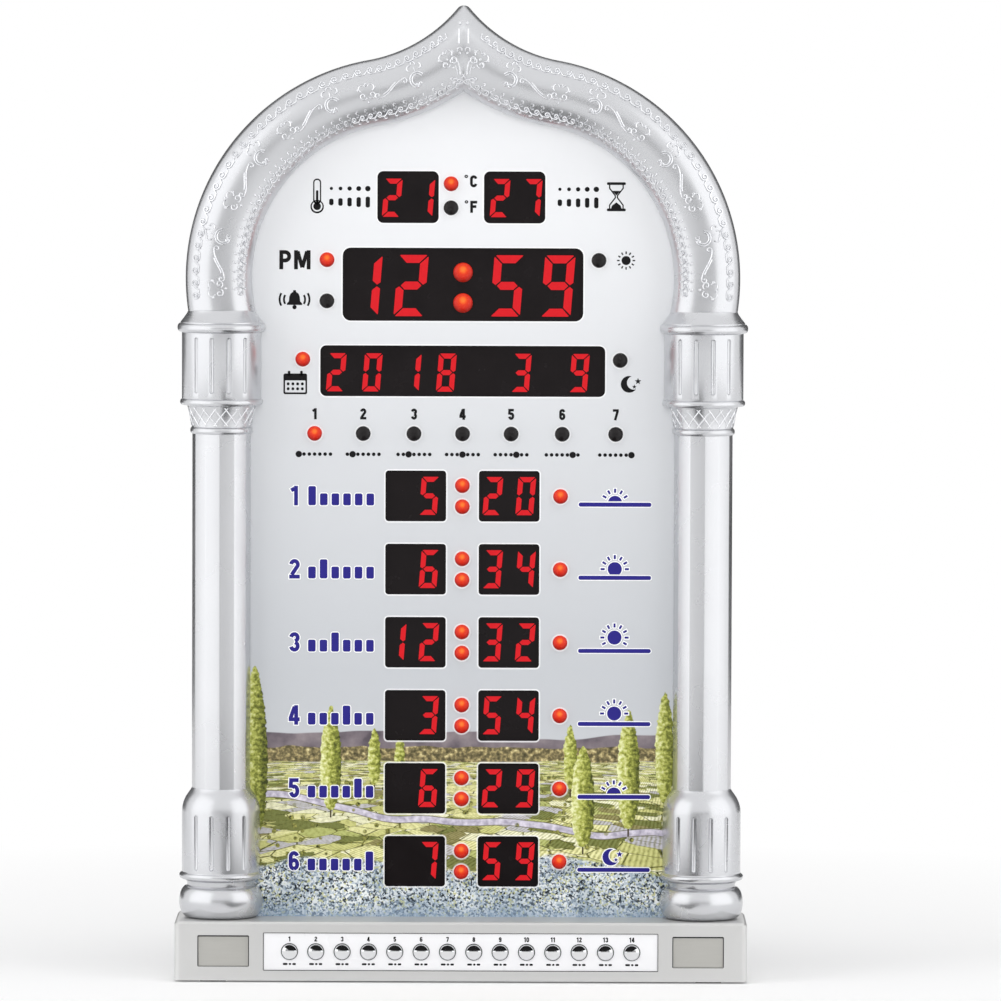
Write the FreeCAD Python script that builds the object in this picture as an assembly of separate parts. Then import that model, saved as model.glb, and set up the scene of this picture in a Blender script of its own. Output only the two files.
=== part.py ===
import FreeCAD, Part
import math
import os

from FreeCAD import Vector

# An arch-framed prayer-time clock, in millimetres: a plinth with fourteen push buttons, two turned
# columns, an ogee arch and a flat display panel. X is to the right, Y goes back, Z is up. The origin
# is under the middle of the plinth, at the height of the soles of its feet.

# Round things are drawn with this many flats
SMALL_SIDES = 16
TURNED_SIDES = 30

# Plinth
PLINTH_WIDTH = 314.0
PLINTH_FRONT = -28.0
PLINTH_BACK = 30.0
PLINTH_BOTTOM = 1.0
PLINTH_TOP = 33.3
PLINTH_WALL = 2.5
PLINTH_CORNER = 3.0
PLINTH_BEVEL = 1.2
FOOT_SIZE = 14.0

# Buttons
BUTTON_COUNT = 14
BUTTON_PITCH = 14.44
BUTTON_HEIGHT = 17.0
BUTTON_RADIUS = 4.25
BUTTON_HOLE = 4.7
BUTTON_TIP = -30.0
BUTTON_TRAVEL = 0.5
BUTTON_SKIRT = -25.0
STEM_SIDE = 3.0
STEM_END = -14.6
PLATE_WIDTH = 216.5
PLATE_HEIGHT = 20.8
PLATE_THICKNESS = 1.2
PLATE_SETBACK = 0.3
BUTTON_BOARD_FRONT = -12.0

# Inset plates at the two ends of the plinth's front
INSET_X = 130.2
INSET_WIDTH = 27.4
INSET_HEIGHT = 16.4
INSET_DEPTH = 1.0

# Columns
COLUMN_X = 131.6
TRIM_BACK = 2.0
SHAFT_RADIUS = 17.1
SHAFT_SIDES = 12
SHAFT_BOTTOM = 105.7
SHAFT_TOP = 299.5
CAPITAL_TOP = 367.5
CAPITAL_DRUM = 22.8
PEDESTAL_DRUM = 22.4
FLUTE_MOUTH = 2.9
FLUTE_FLOOR = 1.5
FLUTE_DEPTH = 1.1
FLUTE_STEP = 24.0
FLUTE_SIDES = 8

# Arch: a convex arc springing from each capital runs into a concave one that rises to the point
HAUNCH_X = 30.6
HAUNCH_Z = 385.5
HAUNCH_RADIUS = 121.5
HAUNCH_END = 79.7
POINT_RADIUS = 82.9
POINT_X = HAUNCH_X + (HAUNCH_RADIUS + POINT_RADIUS) * math.cos(math.radians(HAUNCH_END))
POINT_Z = HAUNCH_Z + (HAUNCH_RADIUS + POINT_RADIUS) * math.sin(math.radians(HAUNCH_END))
POINT_ROUNDING = 4.5
BAND_WIDTH = 36.3
BAND_RELIEF = 16.5
BAND_RIM = 2.5
BAND_FACETS = 7

# Front panel, the frame that holds it and the shell behind
PANEL_BACK = 4.0
PANEL_SIDE = 124.0
PANEL_INSET = 26.0
PANEL_PLAY = 0.3
PANEL_LEDGE = 6.0
FRAME_BACK = 8.0
FRAME_INSET = 2.0
SHELL_BACK = 28.0
SHELL_WALL = 2.5
SHELL_INSET = 3.0
SHELL_EDGE = 3.0

# Windows: centre x, centre z, width, height
WINDOW_CORNER = 1.6
TEMPERATURE_WINDOW = (-30.3, 430.0, 33.7, 28.5)
COUNTDOWN_WINDOW = (28.2, 430.0, 33.7, 28.5)
TIME_WINDOW = (0.0, 382.1, 132.2, 40.2)
DATE_WINDOW = (0.0, 334.5, 156.6, 28.0)
ROW_COUNT = 6
ROW_TOP = 265.7
ROW_PITCH = 40.35
ROW_WINDOW_WIDTH = 33.4
ROW_WINDOW_HEIGHT = 28.0
HOUR_X = -25.6
MINUTE_X = 25.8
MODULE_MARGIN = 1.2

# Lamps
LENS_RADIUS = 4.1
LENS_RISE = 2.6
LENS_SIDES = 10
COLON_LENS_RADIUS = 5.4
COLON_Z = 380.3
COLON_DROP = 8.4
ROW_COLON_DROP = 5.8
ROW_LAMP_X = 54.0
DAY_LAMP_Z = 300.0
DAY_LAMP_X = (-81.3, -54.6, -26.7, 0.0, 26.7, 54.8, 84.2)
LIT_LAMPS = ((-6.7, 437.4), (-74.7, 395.5), (-87.9, 340.8), (DAY_LAMP_X[0], DAY_LAMP_Z))
DARK_LAMPS = ((-6.7, 424.2), (-74.7, 372.9), (74.6, 395.6), (86.5, 340.7))
CHIP_SIDE = 3.4

# Boards and what they carry
BOARD_THICKNESS = 1.6
DISPLAY_BOARD_FRONT = 11.0
MAIN_BOARD_FRONT = 17.0
MAIN_BOARD = (-62.0, 62.0, 62.0, 150.0)
CELL_X = 38.0
CELL_Z = 116.0
CELL_RADIUS = 10.0
SPEAKER_X = 0.0
SPEAKER_Z = 235.0
SPEAKER_RADIUS = 25.0
SPEAKER_DEPTH = 12.0

# Rear interfaces
JACK_X = 112.0
JACK_Z = 17.0
JACK_SOCKET = 3.0
JACK_NOSE = 4.4
JACK_PIN = 1.05
HANGER_X = 82.0
HANGER_Z = 405.0
KEYHOLE_ENTRY = 4.5
KEYHOLE_SLOT = 2.2
KEYHOLE_RISE = 9.0
HANGER_THICKNESS = 1.5


def save(name, shape):
    """Writes one piece to its own file."""
    shape.exportStep("parts/" + name + ".step")


def block(x0, x1, y0, y1, z0, z1):
    """A box between two corners."""
    return Part.makeBox(x1 - x0, y1 - y0, z1 - z0, Vector(x0, y0, z0))


def rod(x, z, radius, y0, y1):
    """A round rod that runs front to back."""
    return Part.makeCylinder(radius, y1 - y0, Vector(x, y0, z), Vector(0, 1, 0))


def prism(points, y0, y1):
    """A flat outline in X and Z, given as points, made solid from y0 to y1."""
    corners = [Vector(x, y0, z) for x, z in points]
    face = Part.Face(Part.makePolygon(corners + corners[:1]))
    return face.extrude(Vector(0, y1 - y0, 0))


def window_solid(window, y0, y1, grow=0.0):
    """A rectangle with clipped corners, made solid from y0 to y1."""
    x, z, width, height = window
    half_w = width / 2 + grow
    half_h = height / 2 + grow
    cut = WINDOW_CORNER
    quarter = [(half_w, half_h - cut), (half_w - cut, half_h)]
    points = []
    for side_x, side_z in ((1, 1), (-1, 1), (-1, -1), (1, -1)):
        corner = [(x + side_x * px, z + side_z * pz) for px, pz in quarter]
        points += corner if side_x * side_z > 0 else corner[::-1]
    return prism(points, y0, y1)


def skin(rings):
    """A solid of flat faces over rings of points. A ring of one point is a tip."""
    faces = [Part.Face(Part.makePolygon(ring + ring[:1])) for ring in (rings[0], rings[-1]) if len(ring) > 1]
    for near, far in zip(rings[:-1], rings[1:]):
        for i in range(len(near)):
            j = (i + 1) % len(near)
            corners = [near[i], near[j]]
            corners += [far[0]] if len(far) == 1 else [far[j], far[i]]
            faces.append(Part.Face(Part.makePolygon(corners + corners[:1])))
    solid = Part.Solid(Part.Shell(faces))
    if solid.Volume < 0:
        solid.reverse()
    return solid


def ring(x, y, z, radius, stretch=0.0, sides=SMALL_SIDES):
    """Points round a small circle that faces the front, pulled apart along Z by a stretch."""
    points = []
    for i in range(sides):
        angle = 2 * math.pi * (i + 0.5) / sides
        shift = math.copysign(stretch, math.sin(angle))
        points.append(Vector(x + radius * math.cos(angle), y, z + shift + radius * math.sin(angle)))
    return points


def turned(outline, axis_x):
    """A body turned about an upright axis from (radius, height) points, in narrow flats."""
    rings = []
    for radius, z in outline:
        turns = [2 * math.pi * i / TURNED_SIDES for i in range(TURNED_SIDES)]
        rings.append([Vector(axis_x + radius * math.cos(a), radius * math.sin(a), z) for a in turns])
    return skin(rings)


def bead(z, half_height, root, crest, steps):
    """Points of a rounded moulding, from its lower edge to its upper one."""
    points = []
    for i in range(steps + 1):
        angle = math.radians(-90 + 180 * i / steps)
        points.append((root + (crest - root) * math.cos(angle), z + half_height * math.sin(angle)))
    return points


def in_front(shape, y):
    """The part of a shape in front of a plane."""
    box = shape.BoundBox
    half = block(box.XMin - 1, box.XMax + 1, y, box.YMax + 1, box.ZMin - 1, box.ZMax + 1)
    return shape.cut(half)


def flutes(axis_x, drum, z0, z1):
    """Round-ended grooves on the front of a drum, narrower at their floor."""
    middle = (z0 + z1) / 2
    stretch = (z1 - z0) / 2 - FLUTE_MOUTH
    tools = []
    for i in range(-3, 3):
        mouth = ring(axis_x, -drum - FLUTE_DEPTH, middle, 2 * FLUTE_MOUTH - FLUTE_FLOOR, stretch, FLUTE_SIDES)
        floor = ring(axis_x, -drum + FLUTE_DEPTH, middle, FLUTE_FLOOR, stretch, FLUTE_SIDES)
        tool = skin([mouth, floor])
        tool.rotate(Vector(axis_x, 0, 0), Vector(0, 0, 1), (i + 0.5) * FLUTE_STEP)
        tools.append(tool)
    return Part.makeCompound(tools)


def shaft(side):
    """The many-sided shaft, turned so that one flat looks a little inwards."""
    corners = []
    for i in range(SHAFT_SIDES):
        angle = math.radians(-5 + 360 * i / SHAFT_SIDES)
        x = side * (COLUMN_X - SHAFT_RADIUS * math.sin(angle))
        corners.append(Vector(x, -SHAFT_RADIUS * math.cos(angle), SHAFT_BOTTOM - 2))
    face = Part.Face(Part.makePolygon(corners + corners[:1]))
    return face.extrude(Vector(0, 0, SHAFT_TOP - SHAFT_BOTTOM + 4))


def column(side):
    """One column moulding: a fluted pedestal on a bulb, a faceted shaft and a fluted capital."""
    pedestal = bead(42.6, 9.3, 20.4, 23.9, 4)
    pedestal += bead(57.2, 3.6, PEDESTAL_DRUM, 23.9, 2)
    pedestal += [(PEDESTAL_DRUM, 93.3), (21.2, 98.4), (18.4, 103.4), (17.8, SHAFT_BOTTOM)]
    capital = bead(301.7, 2.2, 17.4, 18.5, 2)
    capital += [(18.3, 311.0), (20.8, 314.8)]
    capital += bead(317.7, 2.7, CAPITAL_DRUM, 24.0, 2)
    capital += [(CAPITAL_DRUM, 354.5)] + bead(357.6, 3.1, 22.8, 25.3, 3)[1:]
    capital += [(20.2, 362.4), (18.3, CAPITAL_TOP)]
    x = side * COLUMN_X
    body = turned(pedestal, x).cut(flutes(x, PEDESTAL_DRUM, 62.6, 91.8))
    top = turned(capital, x).cut(flutes(x, CAPITAL_DRUM, 322.4, 352.6))
    return in_front(shaft(side).fuse([body, top]), TRIM_BACK)


def band_section(centre_x, centre_z, inner, outer):
    """The arch's cross-section beside an arc centre: upright rims and a domed relief between."""
    half = (outer - inner) / 2
    middle = (outer + inner) / 2
    points = [(inner, TRIM_BACK)]
    for i in range(BAND_FACETS + 1):
        angle = math.radians(180 - 180 * i / BAND_FACETS)
        rise = (BAND_RELIEF - BAND_RIM) * math.sin(angle)
        points.append((middle + half * math.cos(angle), -BAND_RIM - rise))
    points.append((outer, TRIM_BACK))
    corners = [Vector(centre_x + r, y, centre_z) for r, y in points]
    return Part.Face(Part.makePolygon(corners + corners[:1]))


def arch_half():
    """The right half of the arch, from the capital to the middle plane."""
    haunch = band_section(HAUNCH_X, HAUNCH_Z, HAUNCH_RADIUS - BAND_WIDTH, HAUNCH_RADIUS)
    centre = Vector(HAUNCH_X, 0, HAUNCH_Z)
    start = 14.0
    haunch.rotate(centre, Vector(0, 1, 0), start)
    haunch = haunch.revolve(centre, Vector(0, -1, 0), HAUNCH_END + start)
    rise = band_section(POINT_X, POINT_Z, POINT_RADIUS, POINT_RADIUS + BAND_WIDTH)
    centre = Vector(POINT_X, 0, POINT_Z)
    rise.rotate(centre, Vector(0, -1, 0), 180 + HAUNCH_END)
    rise = rise.revolve(centre, Vector(0, 1, 0), 46.0)
    half = haunch.fuse(rise)
    half = half.cut(block(-80, 0, -30, 30, 450, 600))
    return half.cut(block(80, 180, -30, 30, 330, CAPITAL_TOP))


def arch_moulding():
    """Both halves of the arch, with the point at the top rounded off."""
    right = arch_half()
    left = right.mirror(Vector(0, 0, 0), Vector(1, 0, 0))
    drop = math.sqrt((POINT_RADIUS + POINT_ROUNDING) ** 2 - POINT_X**2)
    share = POINT_ROUNDING / (POINT_RADIUS + POINT_ROUNDING)
    reach = POINT_X * share
    round_z = POINT_Z - drop
    tip = block(-reach, reach, -30, 30, round_z + drop * share, POINT_Z)
    tip = tip.cut(rod(0, round_z, POINT_ROUNDING, -30, 30))
    return right.fuse(left).cut(tip).removeSplitter()


def body_face(side_x, inset, y):
    """The clock's outline above the plinth, drawn in from the arch's outer edge by an inset."""
    haunch = HAUNCH_RADIUS - inset
    point = POINT_RADIUS + inset
    top_z = POINT_Z - math.sqrt(point**2 - POINT_X**2)

    def on_haunch(degrees):
        angle = math.radians(degrees)
        return (HAUNCH_X + haunch * math.cos(angle), HAUNCH_Z + haunch * math.sin(angle))

    def on_rise(degrees):
        angle = math.radians(degrees)
        return (POINT_X + point * math.cos(angle), POINT_Z + point * math.sin(angle))

    start = -math.degrees(math.acos((side_x - HAUNCH_X) / haunch))
    end = math.degrees(math.atan2(top_z - POINT_Z, -POINT_X))
    meet = HAUNCH_END - 180
    edges = [Part.makeLine(Vector(-side_x, y, PLINTH_TOP), Vector(side_x, y, PLINTH_TOP))]
    for side in (1, -1):
        spans = []
        for place, first, last in ((on_haunch, start, HAUNCH_END), (on_rise, meet, end)):
            spans.append([place(degrees) for degrees in (first, (first + last) / 2, last)])
        spans = [[Vector(side * x, y, z) for x, z in span] for span in spans]
        edges.append(Part.makeLine(Vector(side * side_x, y, PLINTH_TOP), spans[0][0]))
        edges += [Part.Arc(*span).toShape() for span in spans]
    return Part.Face(Part.Wire(Part.__sortEdges__(edges)))


def body_slab(side_x, inset, y0, y1):
    """The outline of body_face made solid from y0 to y1."""
    return body_face(side_x, inset, y0).extrude(Vector(0, y1 - y0, 0))


def row_heights():
    """Heights of the six rows of times, from the top one down."""
    return [ROW_TOP - ROW_PITCH * i for i in range(ROW_COUNT)]


def hour_window(z):
    return (HOUR_X, z, ROW_WINDOW_WIDTH, ROW_WINDOW_HEIGHT)


def minute_window(z):
    return (MINUTE_X, z, ROW_WINDOW_WIDTH, ROW_WINDOW_HEIGHT)


def all_windows():
    windows = [TEMPERATURE_WINDOW, COUNTDOWN_WINDOW, TIME_WINDOW, DATE_WINDOW]
    for z in row_heights():
        windows += [hour_window(z), minute_window(z)]
    return windows


def front_panel():
    """The printed sheet, with a window for each display."""
    sheet = body_slab(PANEL_SIDE, PANEL_INSET, TRIM_BACK, PANEL_BACK)
    cuts = [window_solid(window, TRIM_BACK - 1, PANEL_BACK + 1) for window in all_windows()]
    return sheet.cut(Part.makeCompound(cuts))


def front_frame():
    """The carrier behind the mouldings: the panel drops into its rebate and rests on its ledge."""
    side = COLUMN_X + SHAFT_RADIUS - FRAME_INSET
    ring = body_slab(side, FRAME_INSET, TRIM_BACK, FRAME_BACK)
    play = PANEL_PLAY
    rebate = body_slab(PANEL_SIDE + play, PANEL_INSET - play, TRIM_BACK - 1, PANEL_BACK)
    mouth = body_slab(PANEL_SIDE - PANEL_LEDGE, PANEL_INSET + PANEL_LEDGE, PANEL_BACK - 1, FRAME_BACK + 1)
    floor = PLINTH_TOP + PANEL_LEDGE
    mouth = mouth.cut(block(-200, 200, -10, 50, 0, floor))
    return ring.cut(rebate).cut(mouth)


def standoff_places():
    """Where the display board is screwed down."""
    return [(x, z) for x in (-98.0, 98.0) for z in (62.0, 200.0, 340.0)] + [(0.0, 452.0)]


def main_board_places():
    x0, x1, z0, z1 = MAIN_BOARD
    return [(x, z) for x in (x0 + 5, x1 - 5) for z in (z0 + 5, z1 - 5)]


def shell_slots():
    """Vents in two ladders, and a sounder grille of chords across a circle."""
    slots = []
    for side in (-1, 1):
        for i in range(6):
            z = 300 + 9 * i
            slots.append(block(side * 62 - 22, side * 62 + 22, 20, 40, z, z + 3))
    for i in range(-3, 4):
        offset = 6.0 * i
        reach = math.sqrt((SPEAKER_RADIUS - 3) ** 2 - offset**2)
        z = SPEAKER_Z + offset
        slots.append(block(SPEAKER_X - reach, SPEAKER_X + reach, 20, 40, z - 1.5, z + 1.5))
    return slots


def back_shell():
    """The rear cover: a tray that follows the arch, with posts for the boards inside."""
    side = COLUMN_X + SHAFT_RADIUS - SHELL_INSET
    brow = SHELL_BACK - SHELL_EDGE
    tray = body_slab(side, SHELL_INSET, FRAME_BACK, brow)
    rim = body_face(side, SHELL_INSET, brow).OuterWire
    rear = body_face(side - SHELL_EDGE, SHELL_INSET + SHELL_EDGE, SHELL_BACK).OuterWire
    tray = tray.fuse(Part.makeLoft([rim, rear], True, True))
    inner = body_slab(side - SHELL_WALL, SHELL_INSET + SHELL_WALL, FRAME_BACK - 1, SHELL_BACK - SHELL_WALL)
    inner = inner.cut(block(-200, 200, 0, 40, 0, PLINTH_TOP + SHELL_WALL))
    tray = tray.cut(inner)
    floor = SHELL_BACK - SHELL_WALL
    board_back = DISPLAY_BOARD_FRONT + BOARD_THICKNESS
    posts = [block(x - 3, x + 3, board_back, floor, z - 3, z + 3) for x, z in standoff_places()]
    main_back = MAIN_BOARD_FRONT + BOARD_THICKNESS
    posts += [block(x - 3, x + 3, main_back, floor, z - 3, z + 3) for x, z in main_board_places()]
    tray = tray.fuse(posts)
    cuts = shell_slots()
    cuts.append(block(-16, 16, 12, 22, PLINTH_TOP - 1, PLINTH_TOP + 5))
    for sign in (-1, 1):
        cuts.append(block(sign * HANGER_X - 7, sign * HANGER_X + 7, 20, 40, HANGER_Z - 8, HANGER_Z + 15))
    return tray.cut(Part.makeCompound(cuts))


def hanger_plates():
    """Steel plates inside the rear cover: a screw head goes in low and drops into the slot."""
    plates = []
    back = SHELL_BACK - SHELL_WALL
    front = back - HANGER_THICKNESS
    for x in (-HANGER_X, HANGER_X):
        plate = block(x - 11, x + 11, front, back, HANGER_Z - 12, HANGER_Z + 19)
        entry = rod(x, HANGER_Z, KEYHOLE_ENTRY, back - 5, back + 5)
        slot = block(x - KEYHOLE_SLOT, x + KEYHOLE_SLOT, back - 5, back + 5, HANGER_Z, HANGER_Z + KEYHOLE_RISE)
        plates.append(plate.cut(entry.fuse(slot)))
    return Part.makeCompound(plates)


def rounded_plinth(grow, z0, z1):
    """The plinth's plan with rounded corners, shrunk or grown, between two heights."""
    x = PLINTH_WIDTH / 2 + grow
    body = block(-x, x, PLINTH_FRONT - grow, PLINTH_BACK + grow, z0, z1)
    upright = [edge for edge in body.Edges if abs(edge.Vertexes[0].Z - edge.Vertexes[-1].Z) > 1]
    return body.makeFillet(PLINTH_CORNER + grow, upright)


def plinth_housing():
    """The plinth's shell, open below, with its long window, end recesses and rear socket hole."""
    body = rounded_plinth(0.0, PLINTH_BOTTOM, PLINTH_TOP)
    top = [edge for edge in body.Edges if edge.BoundBox.ZMin > PLINTH_TOP - 0.01]
    body = body.makeChamfer(PLINTH_BEVEL, top)
    hollow = rounded_plinth(-PLINTH_WALL, PLINTH_BOTTOM - 1, PLINTH_TOP - PLINTH_WALL)
    body = body.cut(hollow)
    cheeks = []
    for side in (-1, 1):
        x = side * INSET_X
        cheeks.append(block(x - 16, x + 16, PLINTH_FRONT + 1, PLINTH_FRONT + 4, 5, 28))
    for x, z in button_board_places():
        cheeks.append(block(x - 2.5, x + 2.5, PLINTH_FRONT + 1.5, BUTTON_BOARD_FRONT, z - 2.5, z + 2.5))
    body = body.fuse(cheeks)
    half_w = PLATE_WIDTH / 2
    half_h = PLATE_HEIGHT / 2
    z = BUTTON_HEIGHT
    seat = PLINTH_FRONT + PLATE_SETBACK + PLATE_THICKNESS
    cuts = [block(-half_w, half_w, PLINTH_FRONT - 1, seat, z - half_h, z + half_h)]
    cuts.append(block(-half_w + 4, half_w - 4, PLINTH_FRONT - 1, PLINTH_FRONT + 3, z - half_h + 3, z + half_h - 3))
    for side in (-1, 1):
        x = side * INSET_X
        recess = (x - INSET_WIDTH / 2, x + INSET_WIDTH / 2)
        low = BUTTON_HEIGHT - INSET_HEIGHT / 2
        cuts.append(block(*recess, PLINTH_FRONT - 1, PLINTH_FRONT + 2 * INSET_DEPTH, low, low + INSET_HEIGHT))
    cuts.append(rod(JACK_X, JACK_Z, JACK_NOSE, PLINTH_BACK - 5, PLINTH_BACK + 5))
    cuts.append(block(-16, 16, 12, 22, PLINTH_TOP - 5, PLINTH_TOP + 5))
    return body.cut(Part.makeCompound(cuts))


def plinth_base_cover():
    """The plate that closes the plinth from below, with a pad under each corner for a foot."""
    return rounded_plinth(-PLINTH_WALL, PLINTH_BOTTOM, PLINTH_BOTTOM + 2.0)


def rubber_feet():
    """Four square soles under the plinth."""
    feet = []
    half = FOOT_SIZE / 2
    for x in (-136.0, 136.0):
        for y in (PLINTH_FRONT + 12, PLINTH_BACK - 12):
            feet.append(block(x - half, x + half, y - half, y + half, 0, PLINTH_BOTTOM))
    return Part.makeCompound(feet)


def button_places():
    """X of each button, from left to right."""
    first = -BUTTON_PITCH * (BUTTON_COUNT - 1) / 2
    return [first + BUTTON_PITCH * i for i in range(BUTTON_COUNT)]


def button_board_places():
    """Where posts behind the front wall hold the button board."""
    return [(x, z) for x in (-101.5, 0.0, 101.5) for z in (5.5, 28.5)]


def button_plate():
    """The pale strip that the buttons stand through."""
    front = PLINTH_FRONT + PLATE_SETBACK
    half_w = PLATE_WIDTH / 2 - 0.2
    half_h = PLATE_HEIGHT / 2 - 0.2
    z = BUTTON_HEIGHT
    plate = block(-half_w, half_w, front, front + PLATE_THICKNESS, z - half_h, z + half_h)
    holes = [skin([ring(x, y, z, BUTTON_HOLE) for y in (front - 1, front + 3)]) for x in button_places()]
    return plate.cut(Part.makeCompound(holes))


def button(x):
    """A domed cap on a square stem that reaches into its switch."""
    z = BUTTON_HEIGHT
    outline = [(BUTTON_RADIUS, BUTTON_SKIRT), (BUTTON_RADIUS, BUTTON_TIP + 1.6)]
    outline += [(BUTTON_RADIUS * 0.62, BUTTON_TIP + 0.45)]
    cap = skin([ring(x, y, z, radius) for radius, y in outline] + [[Vector(x, BUTTON_TIP, z)]])
    half = STEM_SIDE / 2
    return cap.fuse(block(x - half, x + half, BUTTON_SKIRT - 0.5, STEM_END, z - half, z + half))


def button_switches():
    """The switch bodies, each with a well that its button's stem slides in."""
    bodies = []
    z = BUTTON_HEIGHT
    well = STEM_SIDE / 2 + 0.1
    for x in button_places():
        body = block(x - 4, x + 4, -17.0, BUTTON_BOARD_FRONT, z - 4, z + 4)
        bodies.append(body.cut(block(x - well, x + well, -18, STEM_END + BUTTON_TRAVEL + 0.2, z - well, z + well)))
    return Part.makeCompound(bodies)


def button_board():
    back = BUTTON_BOARD_FRONT + BOARD_THICKNESS
    return block(-106, 106, BUTTON_BOARD_FRONT, back, 4.0, 30.0)


def inset_plate(side):
    x = side * INSET_X
    front = PLINTH_FRONT + INSET_DEPTH
    low = BUTTON_HEIGHT - INSET_HEIGHT / 2
    half = INSET_WIDTH / 2 - 0.1
    return block(x - half, x + half, front, front + INSET_DEPTH, low + 0.1, low + INSET_HEIGHT - 0.1)


def display_module(window):
    """A display block that stands on the board and shows its face in the window."""
    x, z, width, height = window
    half_w = width / 2 + MODULE_MARGIN
    half_h = height / 2 + MODULE_MARGIN
    return block(x - half_w, x + half_w, PANEL_BACK, DISPLAY_BOARD_FRONT, z - half_h, z + half_h)


def lens(x, z, radius, seat):
    """A domed lamp lens that stands out of the face it sits on."""
    outline = [(radius, seat), (radius * 0.72, seat - LENS_RISE * 0.74)]
    rings = [ring(x, y, z, r, 0.0, LENS_SIDES) for r, y in outline]
    return skin(rings + [[Vector(x, seat - LENS_RISE, z)]])


def lit_places():
    places = list(LIT_LAMPS)
    for z in row_heights():
        places += [(0.0, z + ROW_COLON_DROP), (0.0, z - ROW_COLON_DROP), (ROW_LAMP_X, z)]
    return places


def dark_places():
    return list(DARK_LAMPS) + [(x, DAY_LAMP_Z) for x in DAY_LAMP_X[1:]]


def lit_lamp_lenses():
    return Part.makeCompound([lens(x, z, LENS_RADIUS, TRIM_BACK) for x, z in lit_places()])


def dark_lamp_lenses():
    return Part.makeCompound([lens(x, z, LENS_RADIUS, TRIM_BACK) for x, z in dark_places()])


def colon_lenses():
    """The two large lamps between the hours and the minutes, on the face of the time display."""
    places = [COLON_Z + COLON_DROP, COLON_Z - COLON_DROP]
    return Part.makeCompound([lens(TIME_WINDOW[0], z, COLON_LENS_RADIUS, PANEL_BACK) for z in places])


def lamp_chips():
    """One light-emitting chip on the display board behind each lens of the panel."""
    half = CHIP_SIDE / 2
    chips = []
    for x, z in lit_places() + dark_places():
        chips.append(block(x - half, x + half, DISPLAY_BOARD_FRONT - 1.2, DISPLAY_BOARD_FRONT, z - half, z + half))
    return Part.makeCompound(chips)


def display_board():
    """The long board that carries every display and lamp, narrower under the arch."""
    outline = [(-104, 46), (104, 46), (104, 352), (72, 402), (72, 442), (20, 460)]
    outline += [(-20, 460), (-72, 442), (-72, 402), (-104, 352)]
    return prism(outline, DISPLAY_BOARD_FRONT, DISPLAY_BOARD_FRONT + BOARD_THICKNESS)


def main_board():
    x0, x1, z0, z1 = MAIN_BOARD
    return block(x0, x1, MAIN_BOARD_FRONT, MAIN_BOARD_FRONT + BOARD_THICKNESS, z0, z1)


def board_chips():
    """Controller, display drivers, voice memory and amplifier on the main board's rear face."""
    back = MAIN_BOARD_FRONT + BOARD_THICKNESS
    chips = [block(-10, 10, back, back + 2.2, 96, 116)]
    for i in range(4):
        x = -48 + 13 * i
        chips.append(block(x, x + 8, back, back + 2.0, 128, 141))
    chips.append(block(22, 34, back, back + 2.2, 84, 92))
    chips.append(block(-46, -38, back, back + 2.0, 84, 94))
    return Part.makeCompound(chips)


def coin_cell_holder():
    """A moulded cradle that keeps the backup cell against the main board."""
    back = MAIN_BOARD_FRONT + BOARD_THICKNESS
    cradle = block(CELL_X - 12, CELL_X + 12, back, back + 3.6, CELL_Z - 12, CELL_Z + 4)
    return cradle.cut(coin_cell(CELL_RADIUS + 0.2))


def coin_cell(radius=CELL_RADIUS):
    back = MAIN_BOARD_FRONT + BOARD_THICKNESS + 0.6
    return skin([ring(CELL_X, y, CELL_Z, radius) for y in (back, back + 3.2)])


def speaker():
    """A small round loudspeaker against the grille: rim, basket and magnet."""
    back = SHELL_BACK - SHELL_WALL
    outline = [(11.0, back - SPEAKER_DEPTH), (11.0, back - 5.0), (SPEAKER_RADIUS, back - 2.5)]
    outline += [(SPEAKER_RADIUS, back), (SPEAKER_RADIUS - 3.0, back), (9.0, back - 4.0)]
    return skin([ring(SPEAKER_X, y, SPEAKER_Z, radius) for radius, y in outline])


def dc_jack():
    """The round low-voltage inlet: a block inside, a nose through the rear wall, and its pin."""
    body = block(JACK_X - 5.5, JACK_X + 5.5, 15.0, PLINTH_BACK - PLINTH_WALL, JACK_Z - 5.5, JACK_Z + 5.5)
    nose = skin([ring(JACK_X, y, JACK_Z, JACK_NOSE - 0.2) for y in (PLINTH_BACK - 3.5, PLINTH_BACK)])
    socket = rod(JACK_X, JACK_Z, JACK_SOCKET, PLINTH_BACK - 9.5, PLINTH_BACK + 1)
    pin = skin([ring(JACK_X, y, JACK_Z, JACK_PIN) for y in (PLINTH_BACK - 10, PLINTH_BACK - 1)])
    return body.fuse(nose).cut(socket).fuse(pin)


def flat_lead(points, thickness, x0, x1):
    """A flat cable bent along points in Y and Z, each run square to the next."""
    runs = []
    half = thickness / 2
    for (y0, z0), (y1, z1) in zip(points[:-1], points[1:]):
        low_y, high_y = sorted((y0, y1))
        low_z, high_z = sorted((z0, z1))
        runs.append(block(x0, x1, low_y - half, high_y + half, low_z - half, high_z + half))
    return runs[0].fuse(runs[1:]).removeSplitter()


def ribbon_cable():
    """From the main board down through the plinth's top to the back of the button board."""
    start = MAIN_BOARD_FRONT + BOARD_THICKNESS + 0.5
    end = BUTTON_BOARD_FRONT + BOARD_THICKNESS
    return flat_lead([(start, 70.0), (start, 20.0), (end + 0.5, 20.0)], 1.0, -12.0, 12.0)


def power_lead():
    """From the inlet forward and across under the plinth's top to the main board."""
    across = block(21.0, JACK_X + 2, 13.0, 15.0, JACK_Z - 1, JACK_Z + 1)
    up = block(13.0, 15.0, 13.0, 15.0, JACK_Z - 1, 66.0)
    link = block(13.0, 21.0, 13.0, 15.0, JACK_Z - 1, JACK_Z + 1)
    board = block(13.0, 15.0, 13.0, MAIN_BOARD_FRONT, 64.0, 66.0)
    return across.fuse([link, up, board]).removeSplitter()


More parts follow.
